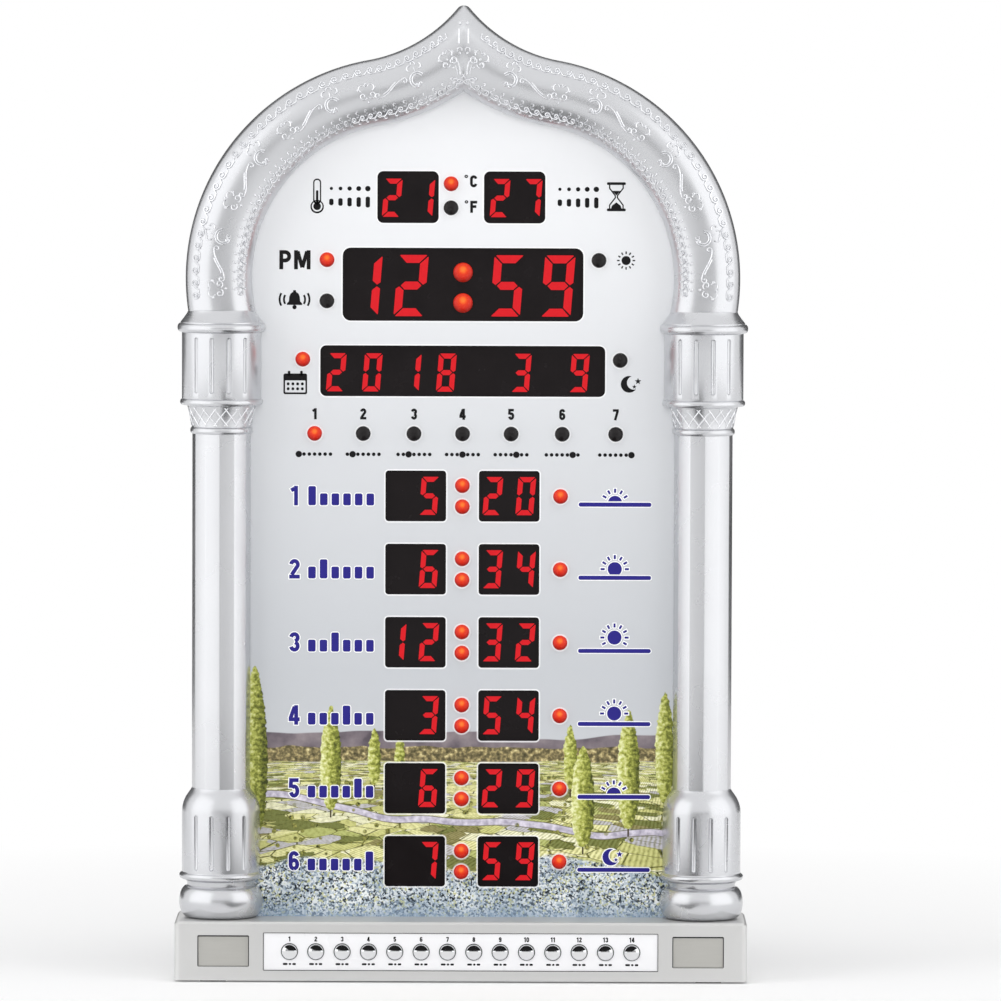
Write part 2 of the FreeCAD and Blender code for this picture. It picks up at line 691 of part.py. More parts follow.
def speaker_lead():
    """From the loudspeaker's magnet down to the main board."""
    top = SPEAKER_Z - 11.0
    board = MAIN_BOARD[3]
    front = MAIN_BOARD_FRONT + BOARD_THICKNESS
    return block(-1.5, 1.5, front, front + 1.0, board - 6.0, top)


def ir_receiver():
    """The remote-control receiver behind the left inset plate."""
    x = -INSET_X
    return block(x - 3, x + 3, PLINTH_FRONT + 4, PLINTH_FRONT + 9, BUTTON_HEIGHT - 3.5, BUTTON_HEIGHT + 3.5)


def temperature_sensor():
    """A small sensor block on the display board's lower rear edge, away from the warm parts."""
    back = DISPLAY_BOARD_FRONT + BOARD_THICKNESS
    return block(84.0, 88.5, back, back + 3.6, 48.0, 52.5)


def main():
    os.makedirs("parts", exist_ok=True)
    save("arch_moulding", arch_moulding())
    save("left_column", column(-1))
    save("right_column", column(1))
    save("plinth_housing", plinth_housing())
    save("plinth_base_cover", plinth_base_cover())
    save("rubber_feet", rubber_feet())
    save("front_panel", front_panel())
    save("front_frame", front_frame())
    save("back_shell", back_shell())
    save("hanger_plates", hanger_plates())
    save("display_board", display_board())
    save("temperature_display", display_module(TEMPERATURE_WINDOW))
    save("countdown_display", display_module(COUNTDOWN_WINDOW))
    save("time_display", display_module(TIME_WINDOW))
    save("date_display", display_module(DATE_WINDOW))
    for i, z in enumerate(row_heights(), 1):
        save("hour_display_%d" % i, display_module(hour_window(z)))
        save("minute_display_%d" % i, display_module(minute_window(z)))
    save("lit_lamp_lenses", lit_lamp_lenses())
    save("dark_lamp_lenses", dark_lamp_lenses())
    save("colon_lenses", colon_lenses())
    save("lamp_chips", lamp_chips())
    save("button_plate", button_plate())
    for i, x in enumerate(button_places(), 1):
        save("button_%02d" % i, button(x))
    save("button_switches", button_switches())
    save("button_board", button_board())
    save("left_inset_plate", inset_plate(-1))
    save("right_inset_plate", inset_plate(1))
    save("main_board", main_board())
    save("board_chips", board_chips())
    save("coin_cell_holder", coin_cell_holder())
    save("coin_cell", coin_cell())
    save("speaker", speaker())
    save("dc_jack", dc_jack())
    save("ribbon_cable", ribbon_cable())
    save("internal_leads", Part.makeCompound([power_lead(), speaker_lead()]))
    save("ir_receiver", ir_receiver())
    save("temperature_sensor", temperature_sensor())


main()
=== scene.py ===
from math import acos, asin, atan2, cos, hypot, pi, radians, sin, sqrt, tan

import bmesh
import bpy
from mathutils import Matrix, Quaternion, Vector


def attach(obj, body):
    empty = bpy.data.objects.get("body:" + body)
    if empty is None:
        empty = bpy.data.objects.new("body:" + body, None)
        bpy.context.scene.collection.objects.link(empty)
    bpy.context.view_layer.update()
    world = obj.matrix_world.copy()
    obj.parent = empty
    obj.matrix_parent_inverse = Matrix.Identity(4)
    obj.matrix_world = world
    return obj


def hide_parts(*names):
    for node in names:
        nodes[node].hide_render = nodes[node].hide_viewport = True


# The looks of an arch-framed prayer-time clock. Shapes are measured in millimetres, and MM turns them into
# metres where Blender takes them. Finishes and the studio are in metres. X is to the right, Y goes back
# and Z is up.

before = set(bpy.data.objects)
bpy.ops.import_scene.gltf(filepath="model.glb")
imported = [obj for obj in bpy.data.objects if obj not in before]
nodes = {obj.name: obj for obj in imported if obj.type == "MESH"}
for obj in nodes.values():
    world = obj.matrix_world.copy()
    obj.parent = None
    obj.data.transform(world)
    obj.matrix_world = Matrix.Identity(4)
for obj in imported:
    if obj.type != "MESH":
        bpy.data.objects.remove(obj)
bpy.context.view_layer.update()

MM = 0.001
FRONT = (0, -1, 0)
UP = (0, 0, 1)

# Trims: arch and columns
TRIM_BACK = 2.0
COLUMN_X = 132.4
SHAFT_RADIUS = 16.1
SHAFT_BOTTOM = 104.7
SHAFT_TOP = 300.0
FLUTE_TURNS = (-38.0, -12.5, 12.5, 38.0)
FLUTE_RADIUS = 1.35
FLUTE_PROUD = 0.4
CAPITAL_TOP = 367.5
HAUNCH = Vector((30.6, 0, 385.5))
HAUNCH_RADIUS = 121.5
HAUNCH_END = radians(79.7)
POINT_RADIUS = 82.9
POINT = HAUNCH + Vector((cos(HAUNCH_END), 0, sin(HAUNCH_END))) * (HAUNCH_RADIUS + POINT_RADIUS)
POINT_ROUNDING = 4.5
BAND_WIDTH = 36.3
BAND_RIM = 2.5
BAND_DOME = 13.6

# Sheet and windows: centre x, centre z, width, height, corner radius
SHEET_FRONT = 2.0
SHEET_BACK = 4.0
SHEET_SIDE = 124.0
SHEET_INSET = 26.0
SHEET_FOOT = 33.3
ROW_HEIGHTS = [265.7 - 40.35 * i for i in range(6)]
SMALL_WINDOW = (33.7, 28.5, 3.3)
ROW_WINDOW = (33.4, 28.0, 1.8)
WINDOWS = {
    "temperature": (-30.3, 430.0, *SMALL_WINDOW),
    "countdown": (28.2, 430.0, *SMALL_WINDOW),
    "time": (0.0, 382.1, 132.2, 40.2, 4.4),
    "date": (0.0, 334.5, 156.6, 28.0, 3.3),
}
for row, z in enumerate(ROW_HEIGHTS, 1):
    WINDOWS[f"hour_{row}"] = (-25.6, z, *ROW_WINDOW)
    WINDOWS[f"minute_{row}"] = (25.8, z, *ROW_WINDOW)

# Seven-segment digits: width, height, bar width
SMALL_DIGIT = (9.8, 21.0, 2.8)
LARGE_DIGIT = (16.7, 33.7, 4.4)
DIGIT_SLANT = tan(radians(4.6))
BAR_DEPTH = 0.4
LIT_BARS = {
    "0": "abcdef", "1": "bc", "2": "abdeg", "3": "abcdg", "4": "bcfg",
    "5": "acdfg", "6": "acdefg", "7": "abc", "8": "abcdefg", "9": "abcdfg",
}
SHOWN = {
    "temperature": (429.6, {-39.0: "2", -21.1: "1"}),
    "countdown": (429.6, {20.2: "2", 37.8: "7"}),
    "time": (381.4, {-53.8: "1", -28.5: "2", 24.3: "5", 52.1: "9"}),
    "date": (333.6, {-69.5: "2", -49.7: "0", -28.3: "1", -9.0: "8", 32.2: "3", 64.1: "9"}),
}
TIMES = (("5", "20"), ("6", "34"), ("12", "32"), ("3", "54"), ("6", "29"), ("7", "59"))
HOUR_CELLS = (-36.2, -18.2)
MINUTE_CELLS = (16.8, 34.9)

# Lamps
LAMP_RADIUS = 4.1
COLON_LAMP_RADIUS = 5.4
LAMP_RISE = 2.6
COLON_Z = 380.3
COLON_DROP = 8.4
ROW_COLON_DROP = 5.8
ROW_LAMP_X = 54.0
DAY_LAMP_Z = 300.0
DAY_LAMPS = (-81.3, -54.6, -26.7, 0.0, 26.7, 54.8, 84.2)
LIT_LAMPS = [(-6.7, 437.4), (-74.7, 395.5), (-87.9, 340.8), (-81.3, 300.0)]
DARK_LAMPS = [(-6.7, 424.2), (-74.7, 372.9), (74.6, 395.6), (86.5, 340.7)]

# Plinth and buttons
PLINTH_FRONT = -28.0
BUTTON_COUNT = 14
BUTTON_PITCH = 14.44
BUTTON_Z = 17.0
BUTTON_RADIUS = 4.25
BUTTON_HOLE = 4.7
STRIP_SIZE = (216.1, 20.4)
STRIP_FRONT = -27.7
STRIP_BACK = -26.5

# Printing
INK = 0.06
INK_DEPTH = 0.02
HALO = 0.03
LAYER = 0.006

# Relief on the arch, laid out along the middle line of half the arch
RELIEF_RISE = 0.18
VINE_PITCH = 48.6
HAUNCH_START = asin((CAPITAL_TOP - HAUNCH.z) / HAUNCH_RADIUS) + radians(2)
HAUNCH_MIDDLE_RADIUS = HAUNCH_RADIUS - BAND_WIDTH / 2
POINT_MIDDLE_RADIUS = POINT_RADIUS + BAND_WIDTH / 2
MIDDLE_HAUNCH = HAUNCH_MIDDLE_RADIUS * (HAUNCH_END - HAUNCH_START)
MIDDLE_RISE = POINT_MIDDLE_RADIUS * (asin(POINT.x / POINT_MIDDLE_RADIUS) - (pi / 2 - HAUNCH_END))
MIDDLE_LENGTH = MIDDLE_HAUNCH + MIDDLE_RISE


def clear():
    """Back to object mode with nothing picked."""
    if bpy.context.mode != "OBJECT":
        bpy.ops.object.mode_set(mode="OBJECT")
    bpy.ops.object.select_all(action="DESELECT")


def grab(*parts):
    """Picks pieces, the first of them active."""
    clear()
    for part in parts:
        part.select_set(True)
    bpy.context.view_layer.objects.active = parts[0]


def edit():
    bpy.ops.object.mode_set(mode="EDIT")
    bpy.ops.mesh.select_mode(type="VERT")


def pick_all():
    bpy.ops.mesh.select_all(action="SELECT")


def pick(kind, test):
    """In edit mode, picks the vertices or edges whose middle passes a test."""
    obj = bpy.context.edit_object
    bpy.ops.mesh.select_mode(type={"verts": "VERT", "edges": "EDGE"}[kind])
    bpy.ops.mesh.select_all(action="DESELECT")
    mesh = bmesh.from_edit_mesh(obj.data)
    for item in getattr(mesh, kind):
        middle = item.co if kind == "verts" else (item.verts[0].co + item.verts[1].co) / 2
        item.select_set(bool(test((obj.matrix_world @ middle) / MM)))
    mesh.select_flush_mode()
    bmesh.update_edit_mesh(obj.data)


def settle(name):
    """Names the piece that was just made and moves its place into its mesh."""
    if bpy.context.mode != "OBJECT":
        bpy.ops.object.mode_set(mode="OBJECT")
    obj = bpy.context.object
    obj.name = name
    obj.data.name = name
    bpy.ops.object.transform_apply(location=True, rotation=True, scale=True)
    return obj


def draw(points):
    """A chain of edges through points, left in edit mode with its last point picked."""
    clear()
    points = [Vector(p) * MM for p in points]
    bpy.ops.mesh.primitive_plane_add(size=MM, location=points[0])
    edit()
    bpy.ops.mesh.merge(type="CENTER")
    for start, end in zip(points[:-1], points[1:]):
        bpy.ops.mesh.extrude_vertices_move(TRANSFORM_OT_translate={"value": end - start})


def close_chain():
    """Joins the two loose ends of the chain being edited."""
    mesh = bmesh.from_edit_mesh(bpy.context.edit_object.data)
    bpy.ops.mesh.select_mode(type="VERT")
    bpy.ops.mesh.select_all(action="DESELECT")
    for vert in mesh.verts:
        if len(vert.link_edges) == 1:
            vert.select_set(True)
    bpy.ops.mesh.edge_face_add()
    pick_all()


def tidy_shell():
    """Welds the mesh being edited and turns its faces outwards."""
    pick_all()
    bpy.ops.mesh.remove_doubles(threshold=0.002 * MM)
    bpy.ops.mesh.normals_make_consistent(inside=False)


def turned(name, outline, centre, axis, steps):
    """A body turned about an axis from (radius, place along the axis) points."""
    centre = Vector(centre)
    along = Vector(axis)
    draw([centre + Vector((r, 0, 0)) + along * place for r, place in outline])
    pick_all()
    bpy.ops.mesh.spin(steps=steps, angle=2 * pi, center=centre * MM, axis=along)
    tidy_shell()
    return settle(name)


def apply(obj, kind, **settings):
    """Adds a modifier to a piece and applies it."""
    grab(obj)
    modifier = obj.modifiers.new(kind.title(), kind)
    for key, value in settings.items():
        setattr(modifier, key, value)
    bpy.ops.object.modifier_apply(modifier=modifier.name)


def cut(obj, tool):
    """Cuts a tool out of a piece, and removes the tool."""
    apply(obj, "BOOLEAN", operation="DIFFERENCE", object=tool, solver="EXACT")
    bpy.data.objects.remove(tool)


def join(name, parts):
    grab(*parts)
    bpy.ops.object.join()
    return settle(name)


def copied(obj, offset):
    """A copy with its own mesh, moved by an offset."""
    grab(obj)
    bpy.ops.object.duplicate()
    bpy.ops.transform.translate(value=Vector(offset) * MM)
    return settle(obj.name + "_copy")


def smooth(obj, degrees=35):
    grab(obj)
    bpy.ops.object.shade_smooth_by_angle(angle=radians(degrees))


def paint(obj, finish):
    obj.data.materials.clear()
    obj.data.materials.append(finishes[finish])


def dress(obj, finish, body="clock", stands_for=()):
    """Gives a piece its finish, its body and the nodes it stands for."""
    paint(obj, finish)
    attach(obj, body)
    if stands_for:
        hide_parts(*stands_for)


def strands(name, lines, radius):
    """Thin round strands that follow lines of points, as one mesh."""
    curve = bpy.data.curves.new(name, "CURVE")
    curve.dimensions = "3D"
    for line in lines:
        spline = curve.splines.new("POLY")
        spline.points.add(len(line) - 1)
        for point, place in zip(spline.points, line):
            point.co = (*(Vector(place) * MM), 1)
    curve.bevel_depth = radius * MM
    curve.bevel_resolution = 1
    curve.use_fill_caps = True
    obj = bpy.data.objects.new(name, curve)
    bpy.context.collection.objects.link(obj)
    grab(obj)
    bpy.ops.object.convert(target="MESH")
    return settle(name)


def rounded_points(window, grow=0.0, steps=6):
    """Points round a rectangle with rounded corners, facing the front."""
    x, z, width, height, corner = window
    corner += grow
    half_w = width / 2 + grow - corner
    half_h = height / 2 + grow - corner
    points = []
    for quarter, (side_x, side_z) in enumerate(((1, 1), (-1, 1), (-1, -1), (1, -1))):
        centre = (x + side_x * half_w, z + side_z * half_h)
        points += bow(centre, corner, corner, 90 * quarter, 90 * quarter + 90, steps + 1)
    return points


def flat_shape(name, outline, y_front, y_back):
    """A plate between two depths from (x, z) points."""
    draw([(x, y_back, z) for x, z in outline])
    close_chain()
    bpy.ops.mesh.edge_face_add()
    bpy.ops.mesh.extrude_region_move(TRANSFORM_OT_translate={"value": (0, (y_front - y_back) * MM, 0)})
    tidy_shell()
    return settle(name)


def inked(name, outline, depth):
    """A printed shape, as thin as its ink."""
    return flat_shape(name, outline, depth, depth + INK_DEPTH)


def punch(name, outline, depth):
    """A tool that cuts right through the printing."""
    return flat_shape(name, outline, depth - 1, depth + 1)


def at(x, z, points):
    """Points about the origin, moved to a place."""
    return [(x + a, z + b) for a, b in points]


def stroke(points, width, swell=0.0):
    """The outline of a straight-ended pen stroke along (x, z) points, swollen on all sides."""
    points = [Vector(p) for p in points]
    points[0] += (points[0] - points[1]).normalized() * swell
    points[-1] += (points[-1] - points[-2]).normalized() * swell
    left, right = [], []
    for i, point in enumerate(points):
        after = (points[min(i + 1, len(points) - 1)] - points[min(i, len(points) - 2)]).normalized()
        before = (points[max(i, 1)] - points[max(i, 1) - 1]).normalized()
        lean = (before + after).normalized()
        reach = (width / 2 + swell) / max(0.5, before.dot(lean))
        side = Vector((-lean.y, lean.x)) * reach
        left.append(point + side)
        right.append(point - side)
    return left + right[::-1]


def bow(centre, across, up, start, end, points=9):
    """Points along part of an ellipse, by degrees from its right-hand side."""
    turns = [radians(start + (end - start) * i / (points - 1)) for i in range(points)]
    return [(centre[0] + across * cos(turn), centre[1] + up * sin(turn)) for turn in turns]


def glyph(character):
    """The pen strokes of a heavy narrow character one unit high, and its width."""
    low, mid, high = 0.1, 0.27, 0.9

    def bent(z, up, start, end, points=9, across=0.17):
        return bow((mid, z), across, up, start, end, points)

    shapes = {
        "0": ([bent(0.72, 0.18, 90, 180) + bent(0.28, 0.18, 180, 270),
               bent(0.28, 0.18, -90, 0) + bent(0.72, 0.18, 0, 90)], 0.54),
        "1": ([[(0.27, 0), (0.27, 1)], [(0.02, 0.76), (0.2, 0.87)]], 0.4),
        "2": ([bent(0.72, 0.18, 175, -25, 12) + [(0.13, 0.2)], [(0, low), (0.54, low)]], 0.54),
        "3": ([bent(0.72, 0.18, 170, -80, 12), bent(0.29, 0.19, 80, -170, 12)], 0.54),
        "4": ([[(0.38, 0), (0.38, 1)], [(0, 0.28), (0.56, 0.28)], [(0.3, 0.93), (0.09, 0.34)]], 0.56),
        "5": ([[(0.02, high), (0.5, high)], [(0.11, 0.82), (0.1, 0.5)],
               bent(0.34, 0.24, 130, -165, 12)], 0.54),
        "6": ([bent(0.7, 0.2, 15, 180, 10) + bent(0.3, 0.2, 180, 270), bent(0.32, 0.22, -90, 150, 12)], 0.54),
        "7": ([[(0, high), (0.52, high)], [(0.43, 0.84), (0.2, 0)]], 0.52),
        "8": ([bent(0.72, 0.17, 0, 180, 10, 0.17 * 0.92), bent(0.72, 0.17, 180, 360, 10, 0.17 * 0.92),
               bent(0.31, 0.21, 0, 180, 10), bent(0.31, 0.21, 180, 360, 10)], 0.54),
        "9": ([bent(0.3, 0.2, 195, 360, 10) + bent(0.7, 0.2, 0, 90), bent(0.68, 0.22, 90, 330, 12)], 0.54),
        "P": ([[(0.1, 0), (0.1, 1)],
               [(0.12, high)] + bow((0.28, 0.68), 0.17, 0.22, 90, -90) + [(0.12, 0.46)]], 0.55),
        "M": ([[(0.1, 0), (0.1, 1)], [(0.66, 0), (0.66, 1)],
               [(0.17, 0.94), (0.38, 0.1)], [(0.59, 0.94), (0.38, 0.1)]], 0.76),
        "C": ([bent(0.7, 0.2, 10, 180) + bent(0.3, 0.2, 180, 350)], 0.54),
        "F": ([[(0.1, 0), (0.1, 1)], [(0.12, high), (0.5, high)], [(0.12, 0.52), (0.44, 0.52)]], 0.5),
        "°": ([bow((0.12, 0.92), 0.09, 0.09, turn, turn + 180) for turn in (0, 180)], 0.3),
    }
    return shapes[character]


def lettering(name, text, x, z, height, depth, swell=0.0, wide=1.0):
    """Flat printed characters, centred on a place."""
    gap = 0.12
    total = sum(glyph(c)[1] * wide for c in text) + gap * (len(text) - 1)
    start = x - total * height / 2
    parts = []
    for character in text:
        lines, width = glyph(character)
        for line in lines:
            placed = [(start + a * wide * height, z + (b - 0.5) * height) for a, b in line]
            thick = height * (0.07 if character == "°" else 0.2)
            front = depth - LAYER * lines.index(line)
            parts.append(flat_shape("pen_stroke", stroke(placed, thick, swell), front, depth + INK_DEPTH))
        start += (width * wide + gap) * height
    return join(name, parts) if len(parts) > 1 else parts[0]


def circle(x, z, radius, sides):
    turns = [2 * pi * i / sides for i in range(sides)]
    return [(x + radius * cos(turn), z + radius * sin(turn)) for turn in turns]


def disc(name, x, z, radius, y_front, y_back, sides=32):
    """A flat round plate that faces the front."""
    return flat_shape(name, circle(x, z, radius, sides), y_front, y_back)


def spot(name, x, z, radius, depth, sides=32):
    return inked(name, circle(x, z, radius, sides), depth)


def bar(name, x, z, width, height, depth):
    corner = min(width, height) * 0.4
    return inked(name, rounded_points((x, z, width, height, corner), 0.0, 3), depth)


class Net:
    """A tree of shader nodes, with short ways to add to it."""

    def __init__(self, tree):
        self.tree = tree

    def feed(self, made, inputs):
        """Sets a node's inputs, each to a value or to another node's socket."""
        for key, value in inputs.items():
            if isinstance(value, bpy.types.NodeSocket):
                self.tree.links.new(value, made.inputs[key])
            else:
                made.inputs[key].default_value = value

    def node(self, kind, inputs=(), **settings):
        made = self.tree.nodes.new("ShaderNode" + kind)
        for key, value in settings.items():
            setattr(made, key, value)
        self.feed(made, dict(inputs))
        return made

    def out(self, kind, inputs=(), socket=0, **settings):
        """One output of a new node."""
        return self.node(kind, inputs, **settings).outputs[socket]

    def place(self):
        return self.out("TexCoord", socket="Object")

    def noise(self, vector, scale, detail=2.0):
        return self.out("TexNoise", {"Vector": vector, "Scale": scale, "Detail": detail})

    def maths(self, operation, *values):
        return self.out("Math", dict(enumerate(values)), operation=operation)

    def times(self, *values):
        return self.maths("MULTIPLY", *values)

    def times_plus(self, *values):
        return self.maths("MULTIPLY_ADD", *values)

    def minus(self, *values):
        return self.maths("SUBTRACT", *values)

    def blend(self, share, first, second, kind="MIX"):
        """A colour between two colours, or their product."""
        return self.out("Mix", {0: share, 6: first, 7: second}, 2, data_type="RGBA", blend_type=kind)

    def ranged(self, value, low, high, start=0.0, end=1.0):
        """A value's place between two limits, as the same place between two others."""
        return self.out("MapRange", {0: value, 1: low, 2: high, 3: start, 4: end})

    def step(self, value, edge, softness):
        """0 below an edge, 1 above it, with a soft change."""
        return self.ranged(value, self.minus(edge, softness), self.maths("ADD", edge, softness))

    def bump(self, height, strength):
        return self.out("Bump", {"Strength": strength, "Distance": 0.05 * MM, "Height": height})

    def ramp(self, value, *stops, constant=False):
        """Colours along a value, from stops of a position and three 0-255 picture levels."""
        made = self.node("ValToRGB", {0: value})
        elements = made.color_ramp.elements
        while len(elements) < len(stops):
            elements.new(0.5)
        for element, (position, *levels) in zip(elements, stops):
            element.position = position
            element.color = rgb(*levels)
        if constant:
            made.color_ramp.interpolation = "CONSTANT"
        return made.outputs[0]


def new_material(name):
    material = bpy.data.materials.new(name)
    material.use_nodes = True
    tree = material.node_tree
    return material, Net(tree), tree.nodes["Principled BSDF"]


def rgb(*levels):
    """A colour for the shader from 0-255 picture levels."""
    linear = []
    for level in levels:
        value = level / 255
        linear.append(value / 12.92 if value <= 0.04045 else ((value + 0.055) / 1.055) ** 2.4)
    return (*linear, 1.0)


def scaled(colour, factor):
    return (*(min(1.0, c * factor) for c in colour[:3]), 1)


def surface(name, levels, roughness, metallic=0.0, spread=0.06, scale=60, grain=0.15, grain_scale=1500,
            stretch=(1, 1, 1), wear=0.0, coat=0.0, specular=0.5):
    """A finish with a little cloudiness in its colour and gloss, a fine grain and lighter worn edges."""
    material, net, shader = new_material(name)
    mapped = net.out("Mapping", {"Vector": net.place(), "Scale": stretch})
    cloud = net.noise(mapped, scale, 4.0)
    tint = net.blend(cloud, scaled(rgb(*levels), 1 - spread), scaled(rgb(*levels), 1 + spread))
    if wear:
        edge = net.out("NewGeometry", socket="Pointiness")
        tint = net.blend(net.ranged(edge, 0.52, 0.62, 0.0, wear), tint, (0.9, 0.9, 0.9, 1))
    net.feed(shader, {
        "Base Color": tint,
        "Roughness": net.ranged(cloud, 0.3, 0.7, roughness * 0.85, roughness * 1.15),
        "Normal": net.bump(net.noise(mapped, grain_scale, 3.0), grain),
        "Metallic": metallic,
        "Coat Weight": coat,
        "Coat Roughness": 0.08,
        "Specular IOR Level": specular,
    })
    return material


def glowing(name, levels, light, strength, roughness):
    """A lit red finish with a slightly uneven glow."""
    material = surface(name, levels, roughness, spread=0.1, scale=300, grain=0.05, specular=0.15)
    net = Net(material.node_tree)
    glow = net.blend(net.noise(net.place(), 500.0), scaled(rgb(*light), 0.82), rgb(*light))
    shader = net.tree.nodes["Principled BSDF"]
    net.feed(shader, {"Emission Color": glow, "Emission Strength": strength})
    return material


def lamp_finish(name):
    """A lit lamp lens: glowing red, with a painted highlight in orange above its middle and deep red at its
    rim.
    """
    material, net, shader = new_material(name)
    crown = net.out("Attribute", {}, "Fac", attribute_name="crown")
    # Along the crown attribute the colour runs from deep red at the rim to a painted highlight in orange.
    red = net.ramp(crown, (0.02, 148, 20, 14), (0.3, 202, 30, 20), (0.7, 228, 56, 24), (1.0, 252, 122, 40))
    cloud = net.noise(net.place(), 700.0)
    glow = net.blend(net.times(cloud, 0.1), red, rgb(235, 90, 40))
    net.feed(shader, {
        "Base Color": net.blend(0.5, glow, (0, 0, 0, 1)),
        "Emission Color": glow,
        "Emission Strength": 0.52,
        "Specular IOR Level": 0.25,
        "Roughness": net.ranged(cloud, 0.3, 0.7, 0.2, 0.3),
        "Normal": net.bump(cloud, 0.05),
    })
    return material


def landscape(net, place, sky):
    """A printed farmland view: a far ridge, fields that narrow towards it, poplars and a flowering meadow."""
    split = net.node("SeparateXYZ", {0: place})
    x, z = split.outputs["X"], split.outputs["Z"]
    flat = net.out("CombineXYZ", {0: x, 1: z})

    def noise(scale, detail=4.0, vector=flat):
        return net.noise(vector, scale, detail)

    def along(shift):
        """The place across the sheet only, with a shift of its own for each wavy line."""
        return net.out("CombineXYZ", {0: x, 1: shift})

    def line(base, reach, scale, shift):
        """A wavy line across the sheet: a base height and a reach up and down."""
        return net.times_plus(noise(scale, 2.0, along(shift)), reach * MM, (base - reach / 2) * MM)

    def below(colour, base, edge, soft=0.3):
        return net.blend(net.step(z, edge, soft * MM), colour, base)

    def between(low, high):
        """1 between two heights, 0 outside them."""
        return net.times(net.step(z, low * MM, 0.2 * MM), net.step(high * MM, z, 0.2 * MM))

    def poplar(picture, centre, foot, top, half):
        """A tall tree with a full round crown in front of a picture, lit from the left."""
        share = net.ranged(z, foot * MM, top * MM)
        taper = net.times(net.maths("POWER", share, 0.45), net.maths("POWER", net.minus(1.0, share), 0.6))
        ragged = net.minus(net.times(noise(330.0, 5.0), 3.6 * MM), 2.1 * MM)
        off = net.minus(x, centre * MM)
        away = net.maths("ABSOLUTE", off)
        inside = net.minus(net.times_plus(taper, half * 1.9 * MM, ragged), away)
        crown = net.times(net.step(inside, 0.0, 0.2 * MM), between(foot, top))
        lit = net.times_plus(off, -38.0, noise(480.0, 6.0))
        leaf = net.ramp(
            lit, (0.2, 60, 66, 24), (0.42, 128, 134, 54), (0.56, 186, 190, 96), (0.8, 236, 238, 186)
        )
        trunk = net.times(net.step(0.45 * MM, away, 0.1 * MM), between(foot - 4, foot + 4))
        return net.blend(crown, net.blend(trunk, picture, rgb(70, 60, 36)), leaf)

    ridge = net.ramp(noise(70.0, 6.0), (0.32, 88, 80, 88), (0.5, 122, 112, 118), (0.7, 150, 140, 142))
    picture = below(ridge, sky, line(134, 20, 13.0, 0.3))
    foothill = net.ramp(
        noise(420.0, 8.0), (0.3, 62, 58, 38), (0.48, 112, 102, 70), (0.6, 168, 152, 104), (0.7, 226, 214, 160)
    )
    picture = below(foothill, picture, line(127, 9, 30.0, 3.3))

    # Fields on level ground, seen from low down
    horizon = 133 * MM
    drop = net.maths("MAXIMUM", net.minus(horizon, z), 3 * MM)
    across = net.maths("DIVIDE", net.times(x, 10 * MM), drop)
    ground = net.out("CombineXYZ", {0: across, 1: net.maths("DIVIDE", 0.0021, drop)})
    ground = net.out("Mapping", {"Vector": ground, "Rotation": (0, 0, 0.5)})
    parcels = {"Vector": ground, "Scale": 330.0, "Randomness": 0.8}
    parcel = net.out("TexVoronoi", parcels, "Color", distance="CHEBYCHEV")
    field = net.ramp(
        net.out("SeparateColor", {0: parcel}), (0.0, 126, 132, 74), (0.14, 212, 212, 142),
        (0.32, 244, 243, 214), (0.5, 190, 196, 124), (0.6, 200, 198, 208), (0.72, 236, 234, 176),
        (0.9, 150, 144, 96), constant=True,
    )
    rows = net.out("TexWave", {"Vector": ground, "Scale": 800.0, "Distortion": 1.5, "Detail": 2.0}, "Fac")
    rows = net.times_plus(rows, 0.32, net.times(noise(520.0, 5.0), 0.75))
    shade = net.ramp(rows, (0.2, 96, 98, 40), (0.45, 214, 212, 180), (0.7, 255, 255, 255))
    field = net.blend(0.75, field, shade, "MULTIPLY")
    hedge = net.out("TexVoronoi", parcels, "Distance", feature="DISTANCE_TO_EDGE")
    bush = net.ramp(noise(700.0), (0.38, 48, 52, 22), (0.62, 132, 130, 62))
    field = net.blend(net.ranged(hedge, 0.012, 0.03), bush, field)
    picture = below(field, picture, line(119, 5, 22.0, 1.7))

    # A lane with a darker verge, and groves
    winding = net.times_plus(noise(16.0, 1.0, along(5.1)), 22 * MM, 76 * MM)
    off_lane = net.maths("ABSOLUTE", net.minus(z, net.times_plus(x, -0.09, winding)))
    lane = net.ramp(noise(300.0, 5.0), (0.35, 166, 160, 178), (0.65, 222, 216, 228))
    for half, colour in ((2.1, rgb(96, 94, 60)), (1.7, lane)):
        picture = net.blend(net.step(half * MM, off_lane, 0.2 * MM), picture, colour)
    bushes = net.node("TexVoronoi", {"Vector": flat, "Scale": 260.0})
    grove = net.step(net.out("SeparateColor", {0: bushes.outputs["Color"]}, 1), 0.62, 0.01)
    for share in (
        net.step(0.36, bushes.outputs["Distance"], 0.05),
        net.step(noise(26.0, 2.0), 0.5, 0.02),
        net.minus(1.0, net.step(z, 112 * MM, 2 * MM)),
    ):
        grove = net.times(grove, share)
    picture = net.blend(grove, picture, net.ramp(noise(800.0), (0.36, 44, 50, 24), (0.64, 168, 166, 84)))
    for poplar_place in (
        (-34, 108, 134, 3.6), (-48, 106, 138, 4.2), (60, 104, 140, 4.4), (112, 96, 158, 6.0),
        (-72, 92, 150, 6.6), (92, 82, 148, 7.0), (-114, 76, 172, 8.0), (67, 72, 128, 7.2),
    ):
        picture = poplar(picture, *poplar_place)

